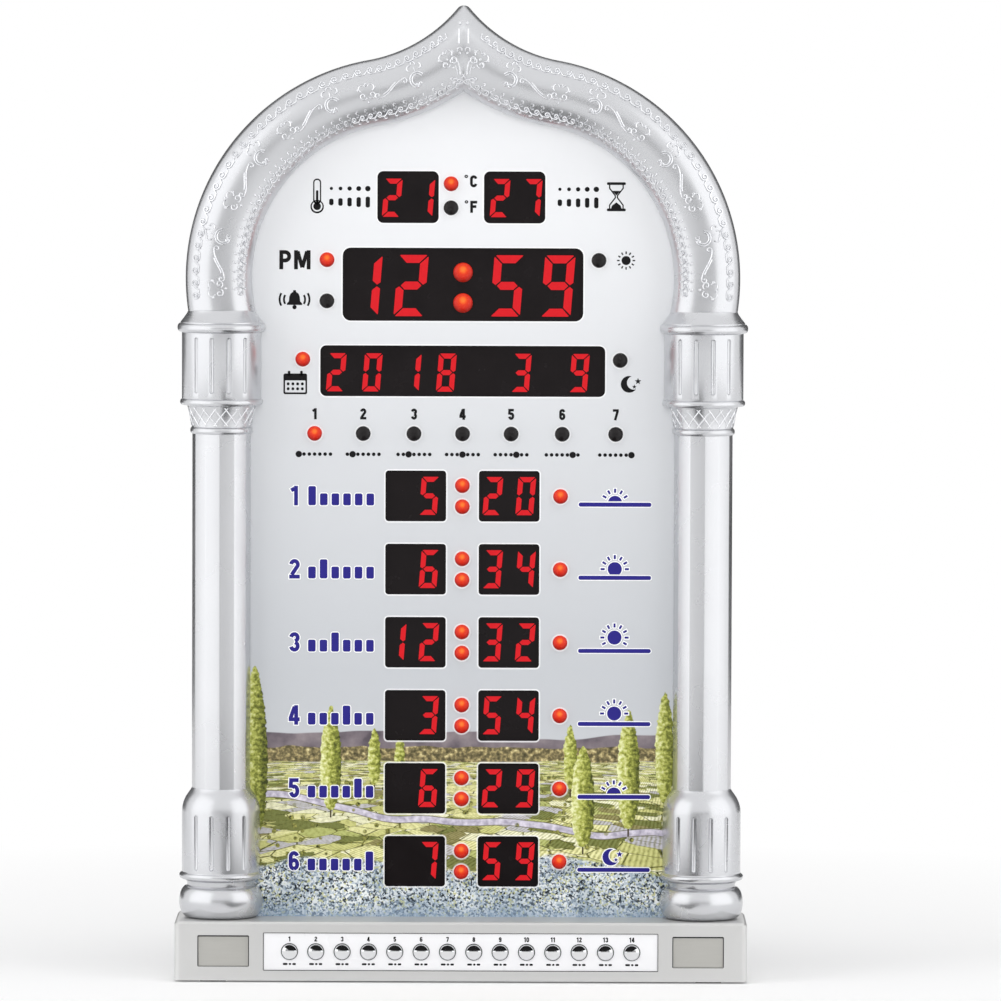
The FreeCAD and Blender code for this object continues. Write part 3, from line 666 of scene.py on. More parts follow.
    # The meadow in front
    speck = net.out("TexVoronoi", {"Vector": flat, "Scale": 1050.0}, "Color")
    meadow = net.ramp(
        net.out("SeparateColor", {0: speck}), (0.0, 44, 50, 56), (0.12, 98, 108, 116), (0.24, 150, 164, 178),
        (0.4, 198, 208, 216), (0.6, 238, 241, 240), (0.88, 208, 208, 160), constant=True,
    )
    drift = net.ramp(noise(40.0, 3.0), (0.4, 176, 190, 202), (0.6, 255, 255, 255))
    meadow = net.blend(0.6, meadow, drift, "MULTIPLY")
    picture = below(meadow, picture, line(62, 22, 15.0, 2.9), 0.8)
    return net.blend(net.ranged(z, 34 * MM, 43 * MM, 0.6, 0.0), picture, rgb(140, 162, 186))


def printed_sheet(name):
    """Graduated grey above a landscape, with pale glows where the glow attribute is set."""
    material, net, shader = new_material(name)
    place = net.place()
    height = net.ranged(net.out("SeparateXYZ", {0: place}, "Z"), 170 * MM, 460 * MM)
    grey = net.ramp(height, (0.0, 194, 197, 201), (0.45, 211, 213, 216), (1.0, 237, 238, 240))
    glow = net.out("Attribute", {}, "Fac", attribute_name="glow")
    cloud = net.noise(place, 300.0)
    net.feed(shader, {
        "Base Color": net.blend(glow, landscape(net, place, grey), rgb(252, 252, 253)),
        "Roughness": net.ranged(cloud, 0.3, 0.7, 0.3, 0.36),
        "Normal": net.bump(cloud, 0.03),
        "Specular IOR Level": 0.25,
    })
    return material


FINE = 2500
PLAIN_FINISHES = {
    "silver_paint": ((207, 208, 211), 0.27, dict(
        metallic=0.85, spread=0.02, scale=25, grain=0.08, grain_scale=FINE, wear=0.1, coat=0.1)),
    # The band's silver painted lighter, as a painted highlight on the ridges of the relief and the collar
    # lattice.
    "raised_silver_painted_highlight": ((236, 237, 240), 0.26, dict(
        metallic=0.75, spread=0.03, scale=200, grain=0.06, grain_scale=FINE, coat=0.15)),
    "plinth_paint": ((205, 205, 204), 0.36, dict(
        metallic=0.5, spread=0.03, scale=30, grain=0.15, grain_scale=FINE, wear=0.12, coat=0.1)),
    "display_black": ((25, 21, 22), 0.25, dict(spread=0.2, scale=80, grain=0.04, specular=0.12)),
    "smoked_lens": ((25, 22, 23), 0.25, dict(spread=0.2, scale=200, grain=0.03, specular=0.25)),
    "chrome": ((225, 226, 228), 0.07, dict(
        metallic=1.0, spread=0.03, scale=300, grain=0.02, grain_scale=900)),
    "strip_white": ((238, 238, 240), 0.3, dict(spread=0.015, scale=50, grain=0.05, coat=0.2)),
    "brushed_inset": ((188, 187, 182), 0.38, dict(
        metallic=0.7, spread=0.06, scale=70, grain=0.35, grain_scale=500, stretch=(1, 1, 12))),
    "grey_moulding": ((186, 188, 190), 0.5, dict(spread=0.03, grain=0.3, wear=0.1)),
    "pale_moulding": ((200, 201, 203), 0.55, dict(spread=0.03, grain=0.4, wear=0.1)),
    "board_green": ((28, 92, 52), 0.35, dict(spread=0.15, scale=200, grain=0.2, grain_scale=600)),
    "chip_black": ((38, 38, 40), 0.55, dict(spread=0.12, scale=200, grain=0.3)),
    "chip_white": ((228, 226, 214), 0.45, dict(spread=0.04, scale=300, grain=0.1)),
    "plated_steel": ((190, 192, 194), 0.3, dict(
        metallic=1.0, spread=0.08, scale=120, grain=0.25, grain_scale=900, wear=0.2)),
    "cable_grey": ((150, 150, 152), 0.5, dict(spread=0.06, grain=0.15)),
    # Black rubber for the feet; the same finish paints the shadow rims round the plinth's plates and strip.
    "black_rubber_and_painted_shadow": ((34, 34, 35), 0.75, dict(spread=0.15, scale=120, grain=0.6, specular=0.3)),
    "black_ink": ((18, 17, 19), 0.35, dict(spread=0.1, scale=150, grain=0.05, specular=0.15)),
    "navy_ink": ((40, 34, 128), 0.35, dict(spread=0.08, scale=150, grain=0.05, specular=0.2)),
    "white_ink": ((250, 250, 250), 0.35, dict(spread=0.01, scale=150, grain=0.05)),
}
finishes = {
    name: surface(name, levels, roughness, **extras)
    for name, (levels, roughness, extras) in PLAIN_FINISHES.items()
}
finishes["lit_bar"] = glowing("lit_bar", (120, 10, 16), (222, 26, 36), 0.8, 0.4)
finishes["lit_lens_painted_highlight"] = lamp_finish("lit_lens_painted_highlight")
finishes["printed_sheet"] = printed_sheet("printed_sheet")


def sheet_outline():
    """The sheet's outline as (x, z) points: up one side, round the haunch, to the point and down again."""
    haunch = HAUNCH_RADIUS - SHEET_INSET
    rise = POINT_RADIUS + SHEET_INSET
    start = -acos((SHEET_SIDE - HAUNCH.x) / haunch)
    meet = HAUNCH_END - pi
    top = -acos(-POINT.x / rise)
    right = [(SHEET_SIDE, SHEET_FOOT)]
    for i in range(41):
        angle = start + (HAUNCH_END - start) * i / 40
        right.append((HAUNCH.x + haunch * cos(angle), HAUNCH.z + haunch * sin(angle)))
    for i in range(1, 21):
        angle = meet + (top - meet) * i / 20
        right.append((POINT.x + rise * cos(angle), POINT.z + rise * sin(angle)))
    right[-1] = (0.0, right[-1][1])
    return right + [(-x, z) for x, z in right[-2::-1]]


def sheet():
    """The printed sheet with its rounded windows, its face parted by a 20 mm grid."""
    obj = flat_shape("printed_front", sheet_outline(), SHEET_FRONT, SHEET_BACK)
    tools = [
        flat_shape(name + "_tool", rounded_points(window), SHEET_FRONT - 1, SHEET_BACK + 1)
        for name, window in WINDOWS.items()
    ]
    cut(obj, join("window_tools", tools))
    grab(obj)
    edit()
    planes = [((x, 0, 0), (1, 0, 0)) for x in range(-110, 111, 20)]
    planes += [((0, 0, z), UP) for z in range(50, 480, 20)]
    for place, normal in planes:
        pick_all()
        bpy.ops.mesh.bisect(plane_co=Vector(place) * MM, plane_no=normal)
    obj = settle("printed_front")
    smooth(obj)
    dress(obj, "printed_sheet", stands_for=["front_panel"])


def glow_ring(name, *loops):
    """A thin printed ring through three loops of points, brightest inside, that fades outward."""
    clear()
    bpy.ops.mesh.primitive_circle_add(vertices=len(loops[0]), radius=MM)
    edit()
    for _ in loops[1:]:
        bpy.ops.mesh.extrude_edges_move(TRANSFORM_OT_translate={"value": (0, 0, MM)})
    obj = settle(name)
    order = loop_order(obj.data)
    for loop, ring in zip(loops, order):
        for (x, z), index in zip(loop, ring):
            obj.data.vertices[index].co = Vector((x, SHEET_FRONT - HALO, z)) * MM
    glow = obj.data.attributes.new("glow", "FLOAT", "POINT")
    for ring, level in zip(order, (0.85, 0.7, 0.0)):
        for index in ring:
            glow.data[index].value = level
    edit()
    pick_all()
    bpy.ops.mesh.normals_make_consistent(inside=False)
    obj = settle(name)
    if obj.data.polygons[0].normal.y > 0:
        obj.data.flip_normals()
    return obj


def loop_order(mesh):
    """The vertices of stacked rings, ring by ring from the lowest, each in order round it."""
    rings = {}
    for vert in mesh.vertices:
        rings.setdefault(round(vert.co.z / MM), []).append(vert.index)
    ordered = []
    for level in sorted(rings):
        places = {i: mesh.vertices[i].co for i in rings[level]}
        ordered.append(sorted(places, key=lambda i: atan2(places[i].y, places[i].x) % (2 * pi)))
    return ordered


def glows():
    """Pale glows round the windows and lamps."""
    rings = []
    for name, window in WINDOWS.items():
        rings.append(glow_ring(name + "_glow", *(rounded_points(window, grow) for grow in (0.0, 0.35, 1.0))))
    for x, z in lit_lamp_places() + dark_lamp_places():
        rings.append(glow_ring("lamp_glow", *(circle(x, z, radius, 28) for radius in (3.0, 4.5, 5.2))))
    dress(join("printed_glows", rings), "printed_sheet")


def lit_lamp_places():
    places = list(LIT_LAMPS)
    for z in ROW_HEIGHTS:
        places += [(0.0, z + ROW_COLON_DROP), (0.0, z - ROW_COLON_DROP), (ROW_LAMP_X, z)]
    return places


def dark_lamp_places():
    return DARK_LAMPS + [(x, DAY_LAMP_Z) for x in DAY_LAMPS[1:]]


def lens(name, radius, seat):
    """One domed lens about the origin, with a painted highlight above its middle marked in its crown
    attribute.
    """
    rim = seat - 0.25
    outline = [(0.0, seat), (radius * 0.97, seat), *bow((0, rim), radius, seat - LAMP_RISE - rim, 0, 90, 10)]
    outline[-1] = (0.0, seat - LAMP_RISE)
    obj = turned(name, outline, (0, 0, 0), (0, 1, 0), 28)
    crown = obj.data.attributes.new("crown", "FLOAT", "POINT")
    for vert in obj.data.vertices:
        x, y, z = vert.co / MM
        share = (seat - y) / LAMP_RISE
        # The painted highlight centres 0.3 of the radius above the middle, as if lit from above.
        off = hypot(x, z - radius * 0.3) / radius
        crown.data[vert.index].value = max(0.0, min(1.0, 1.15 - off)) if share > 0.02 else 0.0
    smooth(obj, 60)
    return obj


def lamps():
    """The lamp lenses: lit, unlit and the two large colon ones."""
    colons = [(0.0, COLON_Z + COLON_DROP), (0.0, COLON_Z - COLON_DROP)]
    groups = (
        ("lit_lenses", "lit_lamp_lenses", LAMP_RADIUS, SHEET_FRONT, lit_lamp_places(), "lit"),
        ("dark_lenses", "dark_lamp_lenses", LAMP_RADIUS, SHEET_FRONT, dark_lamp_places(), "dark"),
        ("colon_domes", "colon_lenses", COLON_LAMP_RADIUS, SHEET_BACK, colons, "lit"),
    )
    for name, node, radius, seat, places, kind in groups:
        first = lens(name + "_first", radius, seat)
        parts = [copied(first, (x, 0, z)) for x, z in places]
        bpy.data.objects.remove(first)
        # Lit lenses take the finish with the painted highlight.
        finish = "lit_lens_painted_highlight" if kind == "lit" else "smoked_lens"
        dress(join(name, parts), finish, stands_for=[node])


def bar_outlines(width, height, thick):
    """Outlines of the seven bars of a digit about its middle, before the slant."""
    w = width / 2
    h = height / 2
    t = thick
    gap = 0.08 * t + 0.1
    top = [
        (-w + gap * 2, h - gap * 0.6), (-w + gap * 3.2, h), (w - gap * 3.2, h), (w - gap * 2, h - gap * 0.6),
        (w - t - gap, h - t), (-w + t + gap, h - t),
    ]
    upper = [
        (w - gap * 0.5, h - gap * 2), (w, h - gap * 3.6), (w, t * 0.3 + gap), (w - t * 0.42, gap),
        (w - t, t / 2 + gap), (w - t, h - t - gap),
    ]
    middle = [
        (-w + t / 2 + gap, 0), (-w + t + gap, t / 2), (w - t - gap, t / 2),
        (w - t / 2 - gap, 0), (w - t - gap, -t / 2), (-w + t + gap, -t / 2),
    ]

    def flip(points, x, z):
        return [(px * x, pz * z) for px, pz in points]

    return {
        "a": top, "b": upper, "c": flip(upper, 1, -1), "d": flip(top, 1, -1),
        "e": flip(upper, -1, -1), "f": flip(upper, -1, 1), "g": middle,
    }


def digit_bars(size):
    """The seven bars of a digit, each a thin plate with a softened front edge."""
    bars = {}
    for letter, outline in bar_outlines(*size).items():
        slanted = [(x + z * DIGIT_SLANT, z) for x, z in outline]
        flat_shape("bar_" + letter, slanted, SHEET_BACK - BAR_DEPTH, SHEET_BACK)
        edit()
        pick("edges", lambda p: p.y < SHEET_BACK - BAR_DEPTH + 0.01)
        bpy.ops.mesh.bevel(offset=0.12 * MM, segments=2)
        bars[letter] = settle("bar_" + letter)
    return bars


def digits():
    """Every lit digit, made from copies of one set of bars for each size."""
    small = digit_bars(SMALL_DIGIT)
    large = digit_bars(LARGE_DIGIT)
    shown = dict(SHOWN)
    for row, (z, (hour, minute)) in enumerate(zip(ROW_HEIGHTS, TIMES), 1):
        shown[f"hour_{row}"] = (z, dict(zip(HOUR_CELLS[-len(hour):], hour)))
        shown[f"minute_{row}"] = (z, dict(zip(MINUTE_CELLS, minute)))
    for name, (z, cells) in shown.items():
        bars = large if name == "time" else small
        parts = []
        for x, figure in cells.items():
            parts += [copied(bars[letter], (x, 0, z)) for letter in LIT_BARS[figure]]
        dress(join(name + "_digits", parts), "lit_bar")
    for bars in (small, large):
        for obj in bars.values():
            bpy.data.objects.remove(obj)


def bead(z, half_height, root, crest, steps=10):
    """Points of a rounded moulding, from its lower edge to its upper one."""
    return bow((root, z), crest - root, half_height, -90, 90, steps + 1)


def flute_tools(axis_x, radius, z_low, z_high, name):
    """Round-ended rods that mill the grooves in the front of a drum."""
    end = Vector((0, -radius - FLUTE_PROUD, z_low + FLUTE_RADIUS))
    clear()
    bpy.ops.mesh.primitive_uv_sphere_add(
        segments=16, ring_count=9, radius=FLUTE_RADIUS * MM, location=end * MM
    )
    edit()
    pick("verts", lambda p: p.z > end.z + 0.01)
    bpy.ops.transform.translate(value=(0, 0, (z_high - z_low - 2 * FLUTE_RADIUS) * MM))
    first = settle(name)
    tools = []
    for degrees in FLUTE_TURNS:
        copied(first, (0, 0, 0))
        edit()
        pick_all()
        bpy.ops.transform.rotate(value=radians(degrees), orient_axis="Z", center_override=(0, 0, 0))
        bpy.ops.transform.translate(value=(axis_x * MM, 0, 0))
        tools.append(settle(name))
    bpy.data.objects.remove(first)
    return join(name, tools)


def trim_back(obj):
    """Cuts a turned piece flat where it meets the front frame."""
    grab(obj)
    edit()
    pick_all()
    bpy.ops.mesh.bisect(plane_co=(0, TRIM_BACK * MM, 0), plane_no=(0, 1, 0), use_fill=True, clear_outer=True)
    return settle(obj.name)


def lattice(name, axis_x):
    """Crossing raised strands round the collar under the capital."""
    low, high = 304.6, 314.6

    def on_collar(angle, z):
        radius = 16.3 + 2.4 * ((z - 303.8) / 12.0) ** 1.3
        return (axis_x + radius * sin(angle), -radius * cos(angle), z)

    lines = []
    for start in range(-80, 81, 20):
        for lean in (-26, 26):
            line = []
            for i in range(9):
                angle = radians(start - lean / 2 + lean * i / 8)
                line.append(on_collar(angle, low + (high - low) * i / 8))
            lines.append(line)
    return strands(name, lines, 0.4)


def column(side, name):
    """One column: a bulb and a fluted pedestal, a twelve-sided shaft and a fluted capital."""
    x = side * COLUMN_X
    pedestal = [
        (0.0, 33.3), *bead(42.2, 8.7, 18.4, 23.0, 16), (18.6, 52.4), (19.2, 53.7), (20.6, 54.5),
        *bead(56.4, 1.6, 21.9, 23.0, 6), (21.5, 58.6), (21.5, 92.0), (21.3, 94.2), (20.6, 97.0),
        (19.4, 99.8), (17.7, 102.3), (16.6, 103.8), (16.2, 104.7), (0.0, 104.7),
    ]
    capital = [
        (0.0, 300.0), *bead(301.8, 1.8, 16.1, 17.2, 8), (16.3, 303.8), (16.6, 306.5), (17.2, 309.8),
        (18.0, 312.8), (18.8, 315.4), *bead(317.5, 1.7, 21.6, 22.8, 6), (21.8, 319.6), (21.8, 355.6),
        *bead(358.4, 2.4, 22.6, 24.3, 8), (22.6, 361.4), (20.6, 363.9), (19.0, 366.2), (18.2, 367.9),
        (0.0, 367.9),
    ]
    pieces = []
    for part, outline, drum, low, high in (
        ("pedestal", pedestal, 21.5, 60.2, 90.8), ("capital", capital, 21.8, 322.6, 353.4)
    ):
        piece = turned(f"{name}_{part}", outline, (x, 0, 0), UP, 96)
        cut(piece, flute_tools(x, drum, low, high, part + "_flutes"))
        pieces.append((piece, 30))
    clear()
    middle = (SHAFT_TOP + SHAFT_BOTTOM) / 2
    bpy.ops.mesh.primitive_cylinder_add(
        vertices=12, radius=SHAFT_RADIUS * MM, depth=(SHAFT_TOP - SHAFT_BOTTOM + 2) * MM,
        location=(x * MM, 0, middle * MM), rotation=(0, 0, side * radians(1)),
    )
    edit()
    pick("edges", lambda p: abs(p.z - middle) < 1)
    bpy.ops.mesh.bevel(offset=0.5 * MM, segments=3)
    pieces.append((settle(name + "_shaft"), 12))
    for piece, degrees in pieces:
        trim_back(piece)
        smooth(piece, degrees)
        dress(piece, "silver_paint", stands_for=[name + "_column"])
    collar = lattice(name + "_collar_lattice", x)
    smooth(collar, 60)
    # The lattice is painted lighter than the shaft, as a painted highlight.
    dress(collar, "raised_silver_painted_highlight", stands_for=[name + "_column"])


def section_points(angle):
    """The arch's closed cross-section at an angle round the haunch."""
    half = BAND_WIDTH / 2
    middle = HAUNCH_RADIUS - half
    dome = bow((middle, -BAND_RIM), half, -BAND_DOME, 180, 0, 25)
    section = [(middle - half, TRIM_BACK), *dome, (middle + half, TRIM_BACK)]
    return [(HAUNCH.x + r * cos(angle), y, HAUNCH.z + r * sin(angle)) for r, y in section]


def arch():
    """The arch moulding: a domed band round the haunches, rising to a rounded point."""
    first = radians(-13)
    draw(section_points(first))
    close_chain()
    bpy.ops.mesh.spin(steps=90, angle=HAUNCH_END - first, center=HAUNCH * MM, axis=(0, 1, 0))
    bpy.ops.mesh.spin(steps=40, angle=radians(46), center=POINT * MM, axis=FRONT)
    pick_all()
    bpy.ops.mesh.bisect(plane_co=(0, 0, 0), plane_no=(1, 0, 0), clear_inner=True)
    pick_all()
    bpy.ops.mesh.bisect(plane_co=(0, 0, CAPITAL_TOP * MM), plane_no=UP, use_fill=True, clear_inner=True)
    obj = settle("arch_band")
    apply(obj, "MIRROR", merge_threshold=0.01 * MM)
    edit()
    tidy_shell()
    obj = settle("arch_band")
    drop = sqrt((POINT_RADIUS + POINT_ROUNDING) ** 2 - POINT.x**2)
    share = POINT_ROUNDING / (POINT_RADIUS + POINT_ROUNDING)
    reach = POINT.x * share
    round_z = POINT.z - drop
    low = round_z + drop * share
    high = POINT.z - drop + 20
    block = flat_shape("tip_block", [(-reach, low), (reach, low), (reach, high), (-reach, high)], -30, 30)
    cut(block, disc("tip_rod", 0, round_z, POINT_ROUNDING, -40, 40, 64))
    cut(obj, block)
    smooth(obj, 25)
    dress(obj, "silver_paint", stands_for=["arch_moulding"])


def relief_front(across):
    """How far forward the relief stands at a share of the band's width."""
    turn = acos(max(-1.0, min(1.0, 2 * across - 1)))
    return -BAND_RIM - BAND_DOME * sin(turn) - RELIEF_RISE


def on_band(side, along, across):
    """The place on the dome at a length along the middle line and a share of the band's width."""
    inward = BAND_WIDTH * (1 - across)
    if along < MIDDLE_HAUNCH:
        centre, radius = HAUNCH, HAUNCH_RADIUS - inward
        angle = HAUNCH_START + along / HAUNCH_MIDDLE_RADIUS
    else:
        centre, radius = POINT, POINT_RADIUS + inward
        angle = HAUNCH_END + pi - (along - MIDDLE_HAUNCH) / POINT_MIDDLE_RADIUS
    return (side * (centre.x + radius * cos(angle)), relief_front(across), centre.z + radius * sin(angle))


def on_point(x, z):
    """The place on the dome above an (x, z) place near the arch's point."""
    radius = hypot(abs(x) - POINT.x, z - POINT.z)
    return (x, relief_front(1 - (radius - POINT_RADIUS) / BAND_WIDTH), z)


def arc(centre, radius, start, end, points=10):
    return bow(centre, radius, radius, start, end, points)


def curl(centre, size, start, sweep, points=13):
    """A scroll that winds from its rim in to its eye."""
    line = []
    for i in range(points):
        share = i / (points - 1)
        angle = radians(start + sweep * share)
        reach = size * (1 - 0.78 * share)
        line.append((centre[0] + reach * cos(angle), centre[1] + reach * sin(angle)))
    return line


def wave_scrolls(pitch, across, size):
    """A running row of scrolls, each linked to the next, along one side of the arch."""
    lines = []
    for i in range(int((MIDDLE_LENGTH + 1) / pitch)):
        along = (i + 0.55) * pitch
        eye = curl((0, 0), size, 265, -480, 18)
        line = eye[::-1] + [(0.45 * pitch, -0.95 * size)]
        line += [(pitch - 1.25 * size, -0.35 * size), (pitch - 1.05 * size, 0.15 * size)]
        lines.append([(along + a, across + b / BAND_WIDTH) for a, b in line])
    return lines


def leaf_row(pitch, across, size):
    """Small paired leaves between the scrolls of the inner border."""
    lines = []
    for i in range(int(MIDDLE_LENGTH / pitch)):
        along = (i + 1.05) * pitch
        for a, b, start in ((0, 1.3, 200), (0.2, 2.6, 20), (0, -1.6, 110)):
            leaf = arc((a * size, b * size), 0.55 * size, start, start + 210, 6)
            lines.append([(along + p, across + q / BAND_WIDTH) for p, q in leaf])
    return lines


def vine():
    """The middle ornament of one side: leaning stems, open curls and small sprays."""
    stem = [(-8 + 16 * i / 12, 3.4 * sin(pi * (i / 12 - 0.5))) for i in range(13)]
    motif = [
        stem, [(a + 0.2, b + 1.3) for a, b in stem[2:9]],
        curl((-8.2, -1.7), 1.8, 270, -330), curl((8.0, 1.9), 1.7, 90, -300),
        arc((15.0, 0.0), 4.3, 20, 262, 14), arc((15.0, 0.0), 3.1, 20, 262, 14),
        curl((15.9, -2.6), 1.4, 300, -330), curl((13.3, -2.6), 1.3, 240, 330),
        arc((13.0, 7.2), 1.5, 60, 260, 8), arc((15.8, 8.6), 1.5, 330, 530, 8),
        arc((18.6, 7.0), 1.5, 250, 450, 8),
        [(15.4, 4.6), (15.6, 5.8), (15.6, 7.0)],
        curl((32.4, -0.6), 2.3, 330, -380), curl((37.4, -0.6), 2.3, 210, 380),
        arc((32.6, 3.6), 1.9, 250, 20, 8), arc((37.2, 3.6), 1.9, 290, 520, 8),
    ]
    motif += [arc(eye, 0.5, 0, 330, 6) for eye in ((30.4, 3.2), (39.4, 3.2), (34.9, 5.4), (34.9, -4.2))]
    lines = []
    for i in range(-1, 4):
        along = 20 + i * VINE_PITCH
        for line in motif:
            placed = [(along + a, 0.5 + b / BAND_WIDTH) for a, b in line]
            if placed[0][0] > 2 and max(placed)[0] < MIDDLE_LENGTH - 5:
                lines.append(placed)
    return lines


def crest(side):
    """The ornament of one side of the point: an upright bar, a volute and a few beads."""
    lines = [
        [(2.5, 522.4), (2.5, 519), (2.6, 514.4)],
        [(1.8, 497.5), (2.1, 501.0), (2.8, 504.2), (4.4, 506.2), *curl((6.2, 504.6), 1.7, 110, -260, 10)],
        [(3.4, 497.2), (3.6, 500.2), (4.4, 502.6)],
        arc((2.2, 511.0), 1.4, 200, -40, 8),
        curl((4.8, 494.0), 1.8, 150, -330, 12),
    ]
    lines += [arc(eye, 0.5, 0, 330, 6) for eye in ((9.2, 505.6), (10.6, 503.4), (2.2, 509.2), (2.0, 525.6))]
    return [[on_point(side * x, z) for x, z in line] for line in lines]


def relief():
    """The raised ornament on the arch: two running borders, the vine between them and the crest."""
    inner = wave_scrolls(5.3, 0.17, 1.55) + leaf_row(5.3, 0.165, 1.3)
    for name, lines, radius in (
        ("outer_border", wave_scrolls(6.1, 0.85, 1.85), 0.46),
        ("inner_border", inner, 0.4),
        ("arch_vine", vine(), 0.45),
    ):
        placed = [[on_band(side, a, b) for a, b in line] for side in (-1, 1) for line in lines]
        if name == "arch_vine":
            placed += crest(-1) + crest(1)
        obj = strands(name, placed, radius)
        smooth(obj, 60)
        # The relief is painted lighter than the band, as a painted highlight on its ridges.
        dress(obj, "raised_silver_painted_highlight")


def button_caps():
    """Chrome button caps, one made and the rest copied, each on its own button."""
    rim = -28.4
    rise = 1.6
    outline = [(0.0, -14.6), (1.5, -14.6), (1.5, -25), (BUTTON_RADIUS, -25)]
    outline += bow((0, rim), BUTTON_RADIUS, -rise, 0, 90, 11)
    outline[-1] = (0.0, rim - rise)
    first = turned("cap_first", outline, (0, 0, 0), (0, 1, 0), 40)
    for i, x in enumerate(button_places(), 1):
        cap = copied(first, (x, 0, BUTTON_Z))
        cap.name = f"cap_{i:02d}"
        smooth(cap, 40)
        node = f"button_{i:02d}"
        dress(cap, "chrome", body=node, stands_for=[node])
    bpy.data.objects.remove(first)


def button_places():
    return [(i - (BUTTON_COUNT - 1) / 2) * BUTTON_PITCH for i in range(BUTTON_COUNT)]


def button_strip():
    """The pale strip with round holes, and the printed figures on it."""
    width, height = STRIP_SIZE

    def on_front_edge(place):
        past_end = abs(place.x) > width / 2 - 1 or abs(place.z - BUTTON_Z) > 9.5
        return past_end and place.y < STRIP_FRONT + 0.01

    edge = rounded_points((0, BUTTON_Z, width, height, 0.4))
    obj = flat_shape("button_strip", edge, STRIP_FRONT, STRIP_BACK)
    tools = [
        disc("hole", x, BUTTON_Z, BUTTON_HOLE, STRIP_FRONT - 1, STRIP_BACK + 1, 48) for x in button_places()
    ]
    cut(obj, join("hole_tools", tools))
    edit()
    pick("edges", on_front_edge)
    bpy.ops.mesh.bevel(offset=0.15 * MM, segments=2)
    obj = settle("button_strip")
    smooth(obj)
    dress(obj, "strip_white", stands_for=["button_plate"])
    marks = []
    ink = STRIP_FRONT - INK
    for i, x in enumerate(button_places(), 1):
        marks.append(lettering(f"figure_{i}", str(i), x, BUTTON_Z + 7.0, 2.6, ink, 0.04))
        for off, width in ((-2.3, 2.6), (0.3, 1.3), (2.6, 1.9)):
            marks.append(bar(f"mark_{i}", x + off, BUTTON_Z - 6.8, width, 1.1, ink))
    dress(join("strip_marks", marks), "black_ink")


def printed_marks():
    """Figures and plain signs beside the windows and lamps."""
    ink = SHEET_FRONT - INK
    black = [lettering("pm", "PM", -92.3, 395.4, 10.5, ink, 0.0, 1.18)]
    for name, text, z in (("celsius", "°C", 438.8), ("fahrenheit", "°F", 424.8)):
        black.append(lettering(name, text, 4.2, z, 6.4, ink, 0.1, 1.15))
    for i, x in enumerate(DAY_LAMPS, 1):
        black.append(lettering(f"day_{i}", str(i), x, 310.8, 5.9, ink, 0.1))
        for j in range(1, 8):
            radius = 1.8 if i == j else 1.0
            black.append(spot("day_dot", x + (j - 4) * 2.9, 288.6, radius, ink, 14))
    for start in (-72.4, 53.0):
        for i in range(5):
            x = start + i * 5.0
            black.append(spot("scale_dot", x, 434.6, 0.9 + 0.15 * i, ink, 14))
            black.append(bar("scale_bar", x, 427.2, 2.4, 3.6 + 0.6 * i, ink))
    black += thermometer(-80.2, 431.0, ink)
    black += hourglass(84.0, 430.6, ink)
    black += bell(-92.5, 373.6, ink) + sun(89.5, 395.6, 2.5, ink)
    black += calendar(-92.0, 327.6, ink) + crescent(91.5, 327.6, 4.6, ink)
    dress(join("black_printing", black), "black_ink")
    dress(join("navy_printing", row_marks(ink, 0.0)), "navy_ink")
    dress(join("pale_printing", row_marks(ink + INK_DEPTH, 0.5)), "white_ink")


def thermometer(x, z, depth):
    """A thermometer sign: a tube, a bulb and the column in it."""
    tube = inked("tube", rounded_points((x, z + 2, 4.4, 14, 2.1)), depth)
    cut(tube, punch("hollow", rounded_points((x, z + 2.2, 3.0, 12, 1.4)), depth))
    ring = spot("ring", x, z - 6.4, 3.7, depth)
    cut(ring, punch("gap", circle(x, z - 6.2, 2.9, 32), depth))
    return [tube, ring, spot("bulb", x, z - 6.2, 2.1, depth), bar("stem", x, z - 1.4, 1.3, 8, depth)]


def outlined(name, points, depth, pen):
    """A pen line along (x, z) points."""
    return inked(name, stroke(points, pen), depth)


def hourglass(x, z, depth):
    """An hourglass sign: two caps, two meeting bulbs and the sand."""
    parts = [bar("cap", x, z + side * 7.2, 10.4, 1.5, depth) for side in (-1, 1)]
    for side in (-1, 1):
        line = [(3.7, 6.6), (3.7, 4.6), (0.6, 0.6), (0.6, -0.6), (3.7, -4.6), (3.7, -6.6)]
        parts.append(outlined("glass", [(x + side * a, z + b) for a, b in line], depth, 0.7))
    sand = [(-2.9, -6.5), (2.9, -6.5), (2.4, -4.9), (0.0, -3.1), (-2.4, -4.9)]
    parts.append(inked("sand", at(x, z, sand), depth))
    rest = [(-2.2, 3.2), (2.2, 3.2), (0.2, 0.9), (-0.2, 0.9)]
    parts.append(inked("rest", at(x, z, rest), depth))
    return parts


def bell(x, z, depth):
    """A bell sign with a sound line on each side."""
    body = [
        (-4.2, -3.0), (4.2, -3.0), (4.2, -2.2), (3.1, -1.0), (2.9, 1.4), (2.2, 3.2), (0.8, 4.2), (0.7, 5.1),
        (-0.7, 5.1), (-0.8, 4.2), (-2.2, 3.2), (-2.9, 1.4), (-3.1, -1.0), (-4.2, -2.2),
    ]
    parts = [inked("bell", at(x, z, body), depth)]
    parts.append(spot("clapper", x, z - 4.2, 1.2, depth, 16))
    for reach in (5.8, 8.2):
        for middle in (0, 180):
            line = bow((x, z), reach, reach * 0.9, middle - 28, middle + 28, 7)
            parts.append(outlined("sound", line, depth, 1.1))
    return parts


